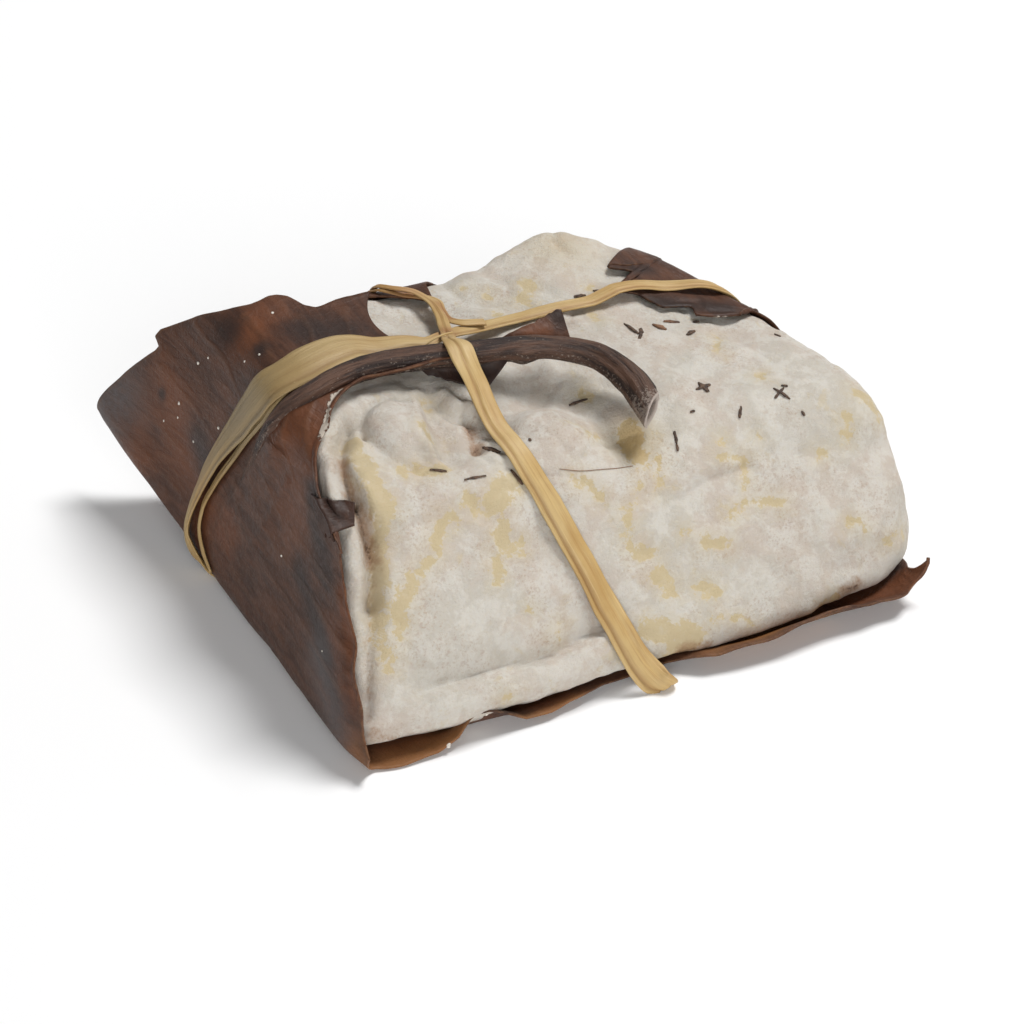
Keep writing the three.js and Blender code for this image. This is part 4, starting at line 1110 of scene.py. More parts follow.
# long ridges and finer grooves, from noise on a cylinder that is drawn out along the stalk
ridges = 0.2 * cloud(around_it * np.array([0.14, 1, 1]), 1.9, 41)
ridges += 0.09 * cloud(around_it * np.array([0.3, 2.6, 2.6]), 1.7, 43)
swollen = BUMP_HEIGHT * bell(reach - BUMP_AT, BUMP_LENGTH) * np.maximum(0, -np.sin(turn - BUMP_TURN))
stalk_shape = stalk_radius * (1 + ridges * (0.5 + stalk_radius / 2) + swollen)
stalk_shape = stalk_shape + 0.06 * cloud(around_it, 1.2, 45)
stalk_points, stalk_faces, stalk_laid = tube_mesh(stalk_line, stalk_shape, STALK_SIDES)
# cut slantwise: the end is sheared along the stalk, forward on one side and back on the other
CUT_SLANT, CUT_REACH = 1.0, 2.6
cut_along = stalk_line[-1] - stalk_line[-3]
cut_along /= np.linalg.norm(cut_along)
cut_side = np.array(to_right) - (np.array(to_right) @ cut_along) * cut_along
from_end = stalk_points - stalk_line[-1]
slanted = smoothstep(stalk_length - CUT_REACH, stalk_length, stalk_laid[:, 0]) * (from_end @ cut_side)
stalk_points -= CUT_SLANT * slanted[:, None] * cut_along


def lengthwise_group():
    """Fibres that run along a piece, as a node group: noise on the piece's own coordinates, drawn out
    along the first of them."""
    inputs = {"laid": "Vector", "fineness": "Float", "drawn out": "Float"}
    group, given, out = new_group("lengthwise_fibres", inputs, {"fibres": "Float"})
    split = wire(group, "ShaderNodeSeparateXYZ", {0: given["laid"]}).outputs
    shorter = calculate(group, "DIVIDE", split[0], given["drawn out"])
    shortened = wire(group, "ShaderNodeCombineXYZ", {0: shorter, 1: split[1], 2: split[2]}).outputs[0]
    group.links.new(noise(group, shortened, given["fineness"], 6, 0.62), out["fibres"])
    return group


LENGTHWISE = lengthwise_group()


def fibres_along(tree, fineness, drawn_out):
    """Lengthwise fibres in a material, read from the piece's own coordinates."""
    made = tree.nodes.new("ShaderNodeGroup")
    made.node_tree = LENGTHWISE
    tree.links.new(read(tree, "laid", "Vector"), made.inputs["laid"])
    made.inputs["fineness"].default_value = fineness
    made.inputs["drawn out"].default_value = drawn_out
    return made.outputs["fibres"]


BARK_DEEP = linear(42, 30, 26)
BARK_BROWN = linear(92, 66, 52)
BARK_LIGHT = linear(112, 86, 70)
BARK_BLACK = linear(40, 30, 28)
BARK_RESIDUE = linear(160, 146, 134)
CUT_WOOD = linear(196, 182, 172)

stalk_finish, stalk_tree, stalk_shader = new_material("woody_stalk")
bark_ridges = fibres_along(stalk_tree, 0.9, 8.0)
bark_fibres = fibres_along(stalk_tree, 3.2, 12.0)
bark_grain = noise(stalk_tree, in_millimetres(stalk_tree), 2.6, 6, 0.7)
bark = paint(stalk_tree, BARK_DEEP, BARK_BROWN, step(stalk_tree, bark_ridges, 0.38, 0.62))
bark = paint(stalk_tree, bark, BARK_LIGHT, step(stalk_tree, bark_fibres, 0.5, 0.7), 0.45)
bark = paint(stalk_tree, bark, BARK_BLACK, step(stalk_tree, bark_fibres, 0.45, 0.3), 0.5)
residue = combined(stalk_tree, bark_grain, (bark_ridges, -0.3), (read(stalk_tree, "worn"), 0.24))
bark = paint(stalk_tree, bark, BARK_RESIDUE, step(stalk_tree, residue, 0.46, 0.56), 0.6)
bark = paint(stalk_tree, bark, CUT_WOOD, read(stalk_tree, "cut"))
bark_height = combined(stalk_tree, bark_ridges, (bark_fibres, 0.5))
stalk_tree.links.new(bark, stalk_shader.inputs["Base Color"])
stalk_tree.links.new(step(stalk_tree, bark_grain, 0.3, 0.7, 0.5, 0.72), stalk_shader.inputs["Roughness"])
stalk_tree.links.new(bump(stalk_tree, bark_height, 0.55), stalk_shader.inputs["Normal"])
stalk_shader.inputs["Specular IOR Level"].default_value = 0.35

# worn pale towards its end and along its underside, and the rim of the cut is bare wood
CUT_RIM_RINGS, CUT_PALENESS = 3, 0.85
worn = 0.75 * smoothstep(stalk_length - 3.2, stalk_length - 0.5, stalk_laid[:, 0])
worn += 0.3 * smoothstep(0.3, 0.1, stalk_laid[:, 2])
past_last_ring = np.arange(len(stalk_laid)) - STALK_SIDES * (STALK_RINGS + len(END_RINGS) - 1)
cut = ((past_last_ring >= 0) & (past_last_ring < CUT_RIM_RINGS * STALK_SIDES)) * CUT_PALENESS
stalk_layers = {"laid": stalk_laid, "worn": worn, "cut": cut}
stalk = new_piece("leaf_stalk", stalk_points, stalk_faces, stalk_finish, stalk_layers)

# Scraps of the blade: one stands up from the stalk like a small flag, one hangs below it, and a torn tab of
# the leaf's margin lies over the crease in the cheese. Each is its four corners, how far it swells, and its
# patterns: strength, reach and middle of a spot, or a strength alone for the whole scrap. The standing
# scrap's orange-brown left half is painted light and its dark right half is painted shadow. The hanging scrap
# is painted dark all over as painted shade under the stalk.
SCRAPS = {
    "leaf_scrap_standing": {
        "corners": [(-5.2, -3.4, 29.6), (2.3, -6.6, 28.9), (-4.6, -3.2, 29.9), (2.7, -3.4, 31.6)],
        "swell": 0.4,
        # painted light on the left half, painted shadow on the right half
        "patterns": {"warm": (1, 2.6, (-1.2, -4.6, 29.9)), "dark": (1, 2.2, (2.4, -4, 31))},
    },
    "leaf_scrap_hanging": {
        "corners": [(-15.2, -2.4, 28.7), (-4.4, -4.9, 28.4), (-14, -2.6, 27.3), (-8.4, -6.2, 25.8)],
        "swell": 0.7,
        # painted shade: dark all over, in the stalk's shadow
        "patterns": {"dark": 1},
    },
    "leaf_tab": {
        "corners": [(-33.4, -12.8, 23.3), (-30.6, -16.6, 23.4), (-34, -16.4, 20.6), (-31.8, -18.9, 21)],
        "swell": -0.5,
        "patterns": {"mould": (1.2, 1, (-32.8, -18.2, 20.8)), "dark": 0.8},
    },
}
SCRAP_ROWS, SCRAP_COLUMNS = 49, 33
SCRAP_THICKNESS = 0.2
SCRAP_WAVE = 0.22
SCRAP_TEAR = 0.14
TAB_LIFT = 0.3
FIRST_SCRAP_SEED = 51


def laid_mesh(piece):
    """A piece's places, in millimetres in the parcel's frame, and its faces."""
    corner = np.empty(len(piece.data.vertices) * 3)
    piece.data.vertices.foreach_get("co", corner)
    faces = [tuple(face.vertices) for face in piece.data.polygons]
    return corner.reshape(-1, 3) / MILLIMETRE + PARCEL_MIDDLE, faces


def tree_of(meshes):
    """One search tree over several meshes, in millimetres."""
    places, faces, first = [], [], 0
    for own_places, own_faces in meshes:
        places.append(own_places)
        faces += [tuple(k + first for k in face) for face in own_faces]
        first += len(own_places)
    return BVHTree.FromPolygons(np.concatenate(places).tolist(), faces)


FAR_OUT = 90  # beyond every piece, seen from the heart


def felt(place, tree):
    """The outermost surface in a search tree, seen from the heart towards a place, and its normal."""
    direction = place - HEART
    direction /= np.linalg.norm(direction)
    hit, normal = tree.ray_cast(Vector(HEART + direction * FAR_OUT), Vector(-direction))[:2]
    return np.array(hit), np.array(normal)


laid = [laid_mesh(block), laid_mesh(wrap), laid_mesh(stalk)]
under_tab = tree_of(laid[:2])


def scrap_surface(corners, bulge, seed):
    """A sheet between four corners, bilinear, swollen by the product of two sines, crinkled and with its
    free edge torn: the last rows stop unevenly."""
    a, b, c, d = (np.array(corner, float) for corner in corners)
    s, t = np.meshgrid(np.linspace(0, 1, SCRAP_ROWS), np.linspace(0, 1, SCRAP_COLUMNS), indexing="ij")
    tear = cloud(np.stack([s * 9, 0 * s, 0 * s], -1), 1.4, seed + 20, 3)
    s, t = s[..., None], (t * (1 + SCRAP_TEAR * tear))[..., None]
    flat = a * (1 - s) * (1 - t) + b * s * (1 - t) + c * (1 - s) * t + d * s * t
    swell = bulge * np.sin(np.pi * s) * np.sin(np.pi * t) + SCRAP_WAVE * cloud(flat, 2, seed)[..., None]
    return flat + grid_normals(flat) * swell


scrap_finish = leaf_finish("torn_leaf", 0.3)
for index, (name, scrap) in enumerate(SCRAPS.items()):
    scrap_middle = scrap_surface(scrap["corners"], scrap["swell"], FIRST_SCRAP_SEED + index)
    if name == "leaf_tab":
        seats = np.array([felt(spot, under_tab)[0] for spot in scrap_middle.reshape(-1, 3)])
        own = np.linalg.norm(scrap_middle - HEART, axis=-1, keepdims=True)
        least = np.linalg.norm(seats.reshape(scrap_middle.shape) - HEART, axis=-1, keepdims=True) + TAB_LIFT
        scrap_middle = HEART + (scrap_middle - HEART) * np.maximum(own, least) / own
    points, faces = sheet_mesh(scrap_middle, SCRAP_THICKNESS)
    no_vein = np.full(scrap_middle.shape[:2], FAR_FROM_VEIN)
    layers = leaf_attributes(scrap_middle, no_vein, no_vein)
    for pattern, given in scrap["patterns"].items():
        if isinstance(given, tuple):
            strength, width, middle = given
            layers[pattern] = strength * bell(np.linalg.norm(points - np.array(middle), axis=1), width)
        else:
            layers[pattern] = np.full(len(points), float(given))
    new_piece(name, points, faces, scrap_finish, layers)

# The second leaf: a darker one that stands behind the block and folds over its back edge, where it shows
# as a strip beside the knot and as a torn flap at the right. The raffia holds it against the cheese.
# Its upper line is the ragged edge on top of the cheese: the flap's fingers are stations 6 to 9.
backing_top = guide(
    [
        [0, -22, 16, 24],
        [1, -14, 14.6, 27],
        [1.5, -10.4, 13.5, 27.9],
        [2, -7.2, 11.7, 27.9],
        [2.4, -5.6, 10.9, 27.8],
        [2.9, -3.2, 16, 26.5],
        [4, 4, 19.5, 23.2],
        [5, 13, 20.5, 23],
        [5.7, 21, 17, 24],
        [6.1, 24, 12, 25],
        [6.3, 23.6, 10.2, 25.1],
        [6.55, 21.2, 9.3, 25.7],
        [6.75, 18.4, 8.9, 26.4],
        [6.9, 16.1, 8.7, 26.9],
        [7.05, 17.6, 8, 26.4],
        [7.2, 19, 7, 26],
        [7.35, 16.9, 5.6, 26.1],
        [7.5, 14.3, 4.3, 26.2],
        [7.65, 16.7, 3.1, 25.7],
        [7.9, 17.6, 0, 25.3],
        [8.1, 21, -0.7, 24.9],
        [8.25, 20.7, -2.7, 24.8],
        [8.6, 25.5, -3.9, 24.2],
        [8.8, 27.8, -2.8, 23.8],
        [9.1, 29.8, -4.2, 22.8],
        [9.5, 31.5, -6, 19.5],
        [10, 34, -8, 14],
    ]
)
backing_bottom = guide(
    [
        [0, -22, 19, 8],
        [2.3, -7, 21, 4],
        [4, 3, 21, 2.2],
        [7, 24, 17, 2.2],
        [8.7, 33, 6, 2.4],
        [10, 34.5, -5, 3],
    ]
)
BACKING_SOFTNESS, BACKING_CROWDING = 0.3, 1.5
BACKING_SPANS = [(0, 5.5, 90), (5.5, 9.2, 200), (9.2, 10, 19)]
BACKING_COLUMNS = 60
BACKING_THICKNESS = 0.28
TOP_TEAR, FOOT_TEAR, FOOT_SHORTER = 0.02, 0.05, 0.05  # shares of the leaf's height
backing_stations = stations_of(BACKING_SPANS)
backing_across = np.linspace(0, 1, BACKING_COLUMNS + 1)
station_grid, across_grid = np.meshgrid(backing_stations, backing_across, indexing="ij")
torn = TOP_TEAR * cloud(np.stack([station_grid * 9, station_grid, station_grid * 0], -1), 2.2, 71, 3)
frayed = FOOT_TEAR * cloud(np.stack([station_grid * 6, station_grid, station_grid * 0], -1), 3, 73, 3)
down = across_grid**BACKING_CROWDING + torn * (1 - across_grid) ** 3
down = (down - (FOOT_SHORTER + frayed) * across_grid**4)[..., None]
backing_plain = backing_top(station_grid) * (1 - down) + backing_bottom(station_grid) * down
backing_plain = drape_over(backing_plain, BACKING_SOFTNESS)
# the flap's lengthwise folds, side by side under the raffia
FLAP_MIDDLE, FLAP_REACH = np.array([25, 0, 25]), 9
PLEAT_HEIGHT, PLEATS = 0.1, 60
on_flap = bell(np.linalg.norm(backing_plain - FLAP_MIDDLE, axis=-1), FLAP_REACH)
pleats = on_flap * PLEAT_HEIGHT * np.sin(across_grid * PLEATS + 3 * cloud(backing_plain, 6, 63))
backing_rise = 0.15 * crinkles(backing_plain, 61) + pleats - 0.1
backing_middle = backing_plain + grid_normals(backing_plain) * backing_rise[..., None]
points, faces = sheet_mesh(backing_middle, BACKING_THICKNESS)
# its midrib, and side veins that fork from it upward and downward, shorter towards its tip
SPINE = np.array([(-18, 19, 17), (5, 21, 14), (24, 15, 13), (33, 2, 11)], float)
FORKS, VEIN_REACH = np.linspace(0.08, 0.95, 9), 9
backing_vein = distance_to_line(backing_middle, SPINE)
for share in FORKS:
    fork = np.array([np.interp(share, np.linspace(0, 1, len(SPINE)), column) for column in SPINE.T])
    for lift in (-VEIN_REACH, VEIN_REACH):
        tip = fork + np.array([VEIN_REACH * (1 - share * 0.6), -3 * share, lift])
        backing_vein = np.minimum(backing_vein, distance_to_line(backing_middle, [fork, tip]))
BACKING_WIDTH = 30
to_edge = np.minimum(across_grid, 1 - across_grid) * BACKING_WIDTH
backing_layers = leaf_attributes(backing_middle, backing_vein, to_edge)
backing = new_piece("backing_leaf", points, faces, leaf_finish("dark_dried_leaf", 0.3), backing_layers)
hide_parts("leaf_back")

# The raffia: two straw-coloured strands of dried palm fibre, tied crosswise round the parcel. Each is
# a flat ribbon with lengthwise folds, drawn tight over whatever lies under it. Place and width of each:
STRAND_ACROSS = [
    [-9.9, 1.4, 29.3, 1.6],
    [-12.4, 0.5, 29.4, 2.1],
    [-14.6, 1.3, 29.6, 3],
    [-17.6, 1.8, 29.8, 3.8],
    [-20.3, 2.3, 30, 4.8],
    [-24.1, 1.6, 30, 5.3],
    [-27.8, 1.3, 29.3, 5.7],
    [-30.1, 1.9, 28.1, 5.5],
    [-31.5, 4.2, 25, 4.9],
    [-32.4, 7.6, 20.2, 4.1],
    [-33.2, 10.2, 16, 3.3],
    [-34.1, 13, 11, 2.7],
    [-35, 14.6, 7, 2.3],
    [-35.9, 14.6, 3.9, 2],
    [-36.2, 12.4, 1.8, 2],
    [-34.5, 10.3, 0.2, 2.1],
    [-15, 8, 0.2, 2.1],
    [10, 5.1, 0.2, 2.1],
    [30, 2.7, 0.2, 2.1],
    [33.6, 2.2, 0.4, 2.1],
    [35.4, 2, 2.2, 2.1],
    [35, 2, 5, 2.1],
    [33.2, 2.4, 15, 2],
    [28.4, 1.8, 22, 2],
    [24.9, 2.9, 24.6, 2.1],
    [20.3, 4.4, 25.6, 2.2],
    [11.8, 4.4, 26.6, 2.1],
    [3.3, 4.4, 27, 2.1],
    [-1.1, 3.6, 27.6, 2],
    [-5.2, 2.6, 28.4, 2.1],
]
STRAND_ALONG = [
    [-9.6, 0.8, 29.8, 1.5],
    [-10.6, -1.6, 30.4, 1.9],
    [-10.9, -4.2, 30.9, 2.9],
    [-11.1, -6.2, 30, 2.9],
    [-10.9, -8.2, 28.2, 2.7],
    [-11.1, -11, 26.4, 2.6],
    [-11.1, -14.2, 24.7, 2.6],
    [-10.8, -18.2, 23, 2.7],
    [-9.7, -21.8, 19.8, 2.8],
    [-6.8, -28.6, 10, 3.1],
    [-5.2, -31.8, 4.8, 3.3],
    [-3.4, -34.3, 1.6, 3.4],
    [-2.2, -35, 0.7, 2.6],
    [-1.9, -33, 0.2, 2.2],
    [-2.6, -12, 0.2, 2.2],
    [-2.3, 10, 0.2, 2],
    [-2, 19, 0.2, 1.8],
    [-2, 21.9, 0.5, 1.6],
    [-2, 23.7, 2.2, 1.5],
    [-2.2, 22.8, 5, 1.5],
    [-4.6, 21.5, 14, 1.3],
    [-9.2, 18.6, 24, 1],
    [-10.4, 15.6, 27.6, 0.9],
    [-9.4, 13.4, 28.2, 0.9],
    [-7.7, 11.9, 28.3, 0.9],
    [-7, 9.6, 28.4, 1],
    [-7.5, 6.8, 28.6, 1.2],
    [-8.6, 3.4, 29.2, 1.5],
]
# The back half's second fibre, which turns into the right arm at the knot
STRAND_BACK = [
    [-3.6, 2.8, 28.6, 1.4],
    [-6.2, 3.4, 28.7, 1.3],
    [-7, 5.2, 28.8, 1.2],
    [-6.6, 7.4, 28.7, 1.1],
    [-6, 9.7, 28.7, 1.1],
    [-6.4, 11.2, 28.6, 1],
    [-8.2, 12.6, 28.5, 0.9],
    [-10, 14, 28.3, 0.9],
    [-11, 16.4, 27, 0.8],
]
# A narrow fibre that split off the broad left band
STRAND_SPLIT = [
    [-28.4, -0.4, 28.6, 0.5],
    [-31, -0.2, 26.6, 0.9],
    [-32.2, 3.6, 22, 1],
    [-32.8, 6.2, 18.8, 1],
    [-33.4, 8.7, 15.2, 1],
    [-34, 11, 11.5, 0.9],
    [-34.6, 12.8, 8.1, 0.9],
    [-35.3, 12.6, 5.6, 0.9],
    [-35.8, 10.8, 3.4, 0.8],
    [-35.9, 9, 2, 0.6],
]
RAFFIA_THICKNESS = 0.3
RAFFIA_GAP = 0.03
TABLE_CLEARANCE = 0.05
STIFFNESS = 4  # how many places on either side a strand's lift is carried over to, and smoothed over

laid += [laid_mesh(backing), laid_mesh(bpy.data.objects["leaf_scrap_hanging"])]
cheese_alone = tree_of(laid[:1])
outermost = tree_of(laid)


def window(values, padding, gather):
    """The greatest or the mean of each value and its neighbours on either side."""
    padded = np.pad(values, STIFFNESS, padding)
    return gather([padded[k : k + len(values)] for k in range(2 * STIFFNESS + 1)], axis=0)


def ribbon_frame(line, width, closed=True):
    """A strand's middle line lifted clear of what it lies on, with its across and outward directions.
    It is drawn tight: its lift is the greatest felt nearby, smoothed along the strand."""
    away = line - HEART
    outward = block_normal(away / np.linalg.norm(away, axis=1, keepdims=True))
    along = np.roll(line, -1, 0) - np.roll(line, 1, 0) if closed else np.gradient(line, axis=0)
    along /= np.linalg.norm(along, axis=1, keepdims=True)
    side = np.cross(along, outward)
    side /= np.linalg.norm(side, axis=1, keepdims=True)
    outward = np.cross(side, along)
    clear = np.full(len(line), -np.inf)
    for share in (-0.5, -0.25, 0, 0.25, 0.5):
        touches = np.array([felt(place, outermost)[0] for place in line + side * (width * share)[:, None]])
        clear = np.maximum(clear, ((touches - line) * outward).sum(1))
    lift = np.maximum(0, clear + RAFFIA_GAP + RAFFIA_THICKNESS / 2)
    padding = "wrap" if closed else "edge"
    lift = window(window(lift, padding, np.max), padding, np.mean)
    middle = line + outward * lift[:, None]
    middle[:, 2] = np.maximum(middle[:, 2], TABLE_CLEARANCE + RAFFIA_THICKNESS / 2)
    return middle, side, outward


RIBBON_SHARES = np.linspace(-0.5, 0.5, 17)
RIBBON_ARCH = 0.16
ARCH_FULL_WIDTH = 4  # narrower ribbons have a lower arch
FOLD_DEPTH = 0.3
FOLD_DEPTH_SHARE = 0.1  # a narrow ribbon's fold is this share of its width deep


def ribbon_mesh(middle, side, outward, width, fold, seed, closed=True):
    """A folded ribbon as a closed band: across it the height is a shallow arch with a deep valley along its
    fold and a slight one beside it, its edges waver, and its thickness thins towards them. Also returns each
    point's own coordinates: millimetres along it and across it, and its share across."""
    distance = run_of(middle)
    across = RIBBON_SHARES[None, :]
    waver = 1 + 0.1 * cloud(np.stack([distance, 0 * distance, 0 * distance], 1), 5, seed)
    shares = across * waver[:, None]
    arch = RIBBON_ARCH * (1 - (2 * across) ** 2) * np.minimum(1, width[:, None] / ARCH_FULL_WIDTH)
    depth = np.minimum(FOLD_DEPTH, width[:, None] * FOLD_DEPTH_SHARE)
    valley = depth * bell(across - fold[:, None], 0.06)
    side_valley = 0.4 * depth * bell(across + 0.8 * fold[:, None] - 0.06, 0.05)
    crimp_place = np.stack([distance[:, None] * 0.25 + 0 * shares, shares * 5, 0 * shares], -1)
    height = arch - valley - side_valley + 0.07 * cloud(crimp_place, 1, seed + 3)
    thinning = 0.35 + 0.65 * np.sqrt(1 - (1.98 * RIBBON_SHARES) ** 2 + 1e-6)
    half_thick = outward[:, None] * RAFFIA_THICKNESS * thinning[None, :, None] / 2
    flat = middle[:, None] + side[:, None] * (shares * width[:, None])[..., None]
    flat = flat + outward[:, None] * height[..., None]
    section = np.concatenate([flat + half_thick, (flat - half_thick)[:, ::-1]], 1)
    section[..., 2] = np.maximum(section[..., 2], RAFFIA_GAP)
    count, around = section.shape[:2]
    number = np.arange(count * around).reshape(count, around)
    ahead = np.roll(number, -1, 0)
    rows = slice(None) if closed else slice(None, -1)
    pairs = [number, np.roll(number, -1, 1), np.roll(ahead, -1, 1), ahead]
    faces = np.stack([part[rows] for part in pairs], -1).reshape(-1, 4)
    if not closed:
        half = around // 2
        for ring in (number[0, ::-1], number[-1]):
            back = ring[::-1]
            cap = np.stack([ring[: half - 1], ring[1:half], back[1:half], back[: half - 1]], 1)
            faces = np.concatenate([faces, cap])
    both = np.concatenate([RIBBON_SHARES, RIBBON_SHARES[::-1]])[None, :] + 0 * distance[:, None]
    laid_on = np.stack([distance[:, None] + 0 * both, both * width[:, None], both], -1)
    # painted shade along the fold: strongest at the fold's line across the ribbon
    fold_shade = bell(both - fold[:, None], 0.07)
    return section.reshape(-1, 3), faces, laid_on.reshape(-1, 3), fold_shade.ravel()


STRAW_DEEP = linear(184, 150, 94)
STRAW_LIGHT = linear(198, 170, 118)
STRAW_BAND = linear(164, 122, 72)
STRAW_DARK_FIBRE = linear(148, 108, 60)
STRAW_PALE_FIBRE = linear(226, 202, 156)
STRAW_FOLD_SHADE = linear(134, 92, 48)
STRAW_BAND_SHADE = linear(128, 110, 78)
STRAW_BROWN_AND_SHADE = linear(150, 96, 58)

straw_finish, straw_tree, straw_shader = new_material("raffia_straw")
fibres = fibres_along(straw_tree, 3.4, 26.0)
broad_fibres = fibres_along(straw_tree, 0.9, 10.0)
tone = noise(straw_tree, in_millimetres(straw_tree), 0.12, 4, 0.5)
straw = paint(straw_tree, STRAW_DEEP, STRAW_LIGHT, step(straw_tree, tone, 0.35, 0.65))
straw = paint(straw_tree, straw, STRAW_BAND, step(straw_tree, broad_fibres, 0.5, 0.7), 0.4)
straw = paint(straw_tree, straw, STRAW_DARK_FIBRE, step(straw_tree, fibres, 0.5, 0.72), 0.4)
straw = paint(straw_tree, straw, STRAW_PALE_FIBRE, step(straw_tree, fibres, 0.42, 0.25), 0.55)
# painted shade along each strand's fold
straw = paint(straw_tree, straw, STRAW_FOLD_SHADE, read(straw_tree, "fold_shade"), 0.55)
# painted shade on the left band
straw = paint(straw_tree, straw, STRAW_BAND_SHADE, read(straw_tree, "band_shade"), 0.85)
# browning and painted shade at the knot and over the back
straw = paint(straw_tree, straw, STRAW_BROWN_AND_SHADE, read(straw_tree, "brown_and_shade"), 0.7)
straw_tree.links.new(straw, straw_shader.inputs["Base Color"])
straw_tree.links.new(bump(straw_tree, fibres, 0.12), straw_shader.inputs["Normal"])
straw_shader.inputs["Roughness"].default_value = 0.5
straw_shader.inputs["Specular IOR Level"].default_value = 0.4

# painted shade: the broad left band, which faces away from the light, is painted greyer and darker
SHADED_BAND_SPOTS = [(15, [(-32, 4, 22)])]  # the left band is greyer
# the strands are painted browner at the knot and where they leave over the back: partly their own browning,
# and partly painted shade where one strand passes under the other and where they turn away over the back edge
BROWN_AND_SHADE_SPOTS = [
    (1.3, [(-9.4, 1.2, 29.4)]),
    (2.2, [(-8.4, 12.6, 28.5), (-11, 16, 27)]),
    (0.8, [(-6.5, 9, 28.7), (-7, 5, 28.7)]),
]


def new_strand(name, table, count, folds, closed=True):
    """A raffia strand laid along its table of places and widths, over all that is laid already. folds gives
    the fold's share across against Y."""
    global outermost
    line = smooth_line(table, count, closed)
    width = line[:, 3]
    middle, side, outward = ribbon_frame(line[:, :3], width, closed)
    fold = np.interp(middle[:, 1], *np.array(folds, float).T)
    points, faces, laid_on, fold_shade = ribbon_mesh(middle, side, outward, width, fold, len(laid) * 7, closed)
    layers = {"laid": laid_on, "fold_shade": fold_shade}
    layers["band_shade"] = spread(points, SHADED_BAND_SPOTS)
    layers["brown_and_shade"] = spread(points, BROWN_AND_SHADE_SPOTS)
    piece = new_piece(name, points, faces, straw_finish, layers)
    laid.append((points, [tuple(face) for face in faces.tolist()]))
    outermost = tree_of(laid)
    return piece


# The front strand's fold runs down its middle at the knot, and nearer its left edge further down
FRONT_FOLD = [(-36, 0.3), (-20, 0.28), (-12, 0.26), (-8, 0.14), (-5, 0.04), (3, 0.1)]
new_strand("raffia_split", STRAND_SPLIT, 120, [(0, 0.1)], False)
new_strand("raffia_across", STRAND_ACROSS, 520, [(0, -0.3)])
new_strand("raffia_back", STRAND_BACK, 90, [(0, 0.15)], False)
strand_along = new_strand("raffia_along", STRAND_ALONG, 520, FRONT_FOLD)
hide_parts("raffia_tie")

# A stray pale fibre that has come loose from the raffia beside the knot: a thin strip of the same dried
# palm leaf, which rises over the band in a low bow and thins to half towards its left end.
FIBRE_PLACES = [[-13.4, -0.9, 30.1], [-12.2, -0.9, 30.6], [-11, -1, 30.9], [-10, -1.2, 31]]
FIBRE_RADIUS, FIBRE_RINGS, FIBRE_SIDES = 0.12, 40, 8
fibre_line = smooth_line(FIBRE_PLACES, FIBRE_RINGS)
fibre_taper = 1 - 0.5 * np.linspace(1, 0, FIBRE_RINGS)[:, None] ** 3
points, faces, laid_on = tube_mesh(fibre_line, FIBRE_RADIUS * fibre_taper, FIBRE_SIDES)
plain = np.zeros(len(points))
fibre_layers = {"laid": laid_on, "fold_shade": plain, "band_shade": plain, "brown_and_shade": plain}
stray = new_piece("raffia_fibre", points, faces, straw_finish, fibre_layers)

# Leaf crumbs and bark flakes that fell on the cheese: small curled slips of the stalk's dry bark, some of
# them crossed, which stick to the moist rind. Each is where it starts and ends, and its width.
FLAKES = [
    ((13.4, -0.3, 25.6), (13.6, -3.1, 25.4), 0.75),
    ((15.2, -1.6, 25.4), (13.2, -3.9, 25.3), 0.6),
    ((10.8, 6.7, 27.1), (12.4, 6.6, 27), 0.5),
    ((13.8, 7.2, 27), (15.4, 6.3, 26.5), 0.4),
    ((19.6, 11.5, 26.6), (22.4, 13.3, 25.6), 0.5),
    ((17.4, -0.9, 25.2), (17.8, -2.9, 25), 0.7),
    ((19.9, -4.6, 24.8), (21, -4.3, 24.7), 0.6),
    ((13.7, -15, 23.7), (16, -14.7, 23.7), 0.7),
    ((14.8, -14, 23.9), (14.8, -15.7, 23.4), 0.8),
    ((21.8, -17.6, 22.6), (22.6, -19.4, 21.8), 0.5),
    ((21.2, -18.8, 22.1), (23.3, -17.9, 22.5), 0.45),
    ((23.2, -17.5, 22.6), (24, -17.8, 22.5), 0.4),
    ((16.4, -18.7, 22.3), (16, -19.8, 21.6), 0.4),
    ((23, -20.8, 20.8), (23, -21.2, 20.4), 0.4),
    ((11.2, -17.6, 22.8), (11.7, -17.7, 22.8), 0.4),
    ((8.4, -19.2, 22), (7.9, -20.4, 21.1), 0.4),
    ((7.9, -20.4, 21.1), (7.7, -20.9, 20.5), 0.35),
    ((0.2, -10.3, 23.8), (2.6, -10.5, 24.1), 0.4),
    ((-13.9, -14.5, 24.2), (-12.4, -16, 23.9), 0.6),
    ((-21.3, -15.9, 24.2), (-19.3, -16.7, 23.8), 0.45),
    ((-17.6, -18, 22.9), (-15.2, -18.2, 22.8), 0.35),
    ((-12.4, -18.4, 22.8), (-11.8, -19.9, 21.5), 0.5),
    ((-8.7, -16, 24.4), (-8.7, -16.4, 24.3), 0.35),
    ((29.2, -7.9, 23.2), (29.6, -8.5, 23), 0.4),
    ((18.8, -0.9, 25.1), (20.4, -1.9, 24.9), 0.5),
    ((21.9, -2.4, 24.7), (22.6, -2.6, 24.6), 0.4),
]


FLAKE_ROWS, FLAKE_COLUMNS, FLAKE_THICKNESS = 11, 5, 0.1
FLAKE_LIFT, FLAKE_BOW, FLAKE_CURL = 0.1, 0.16, 0.5
FIRST_FLAKE_SEED = 80


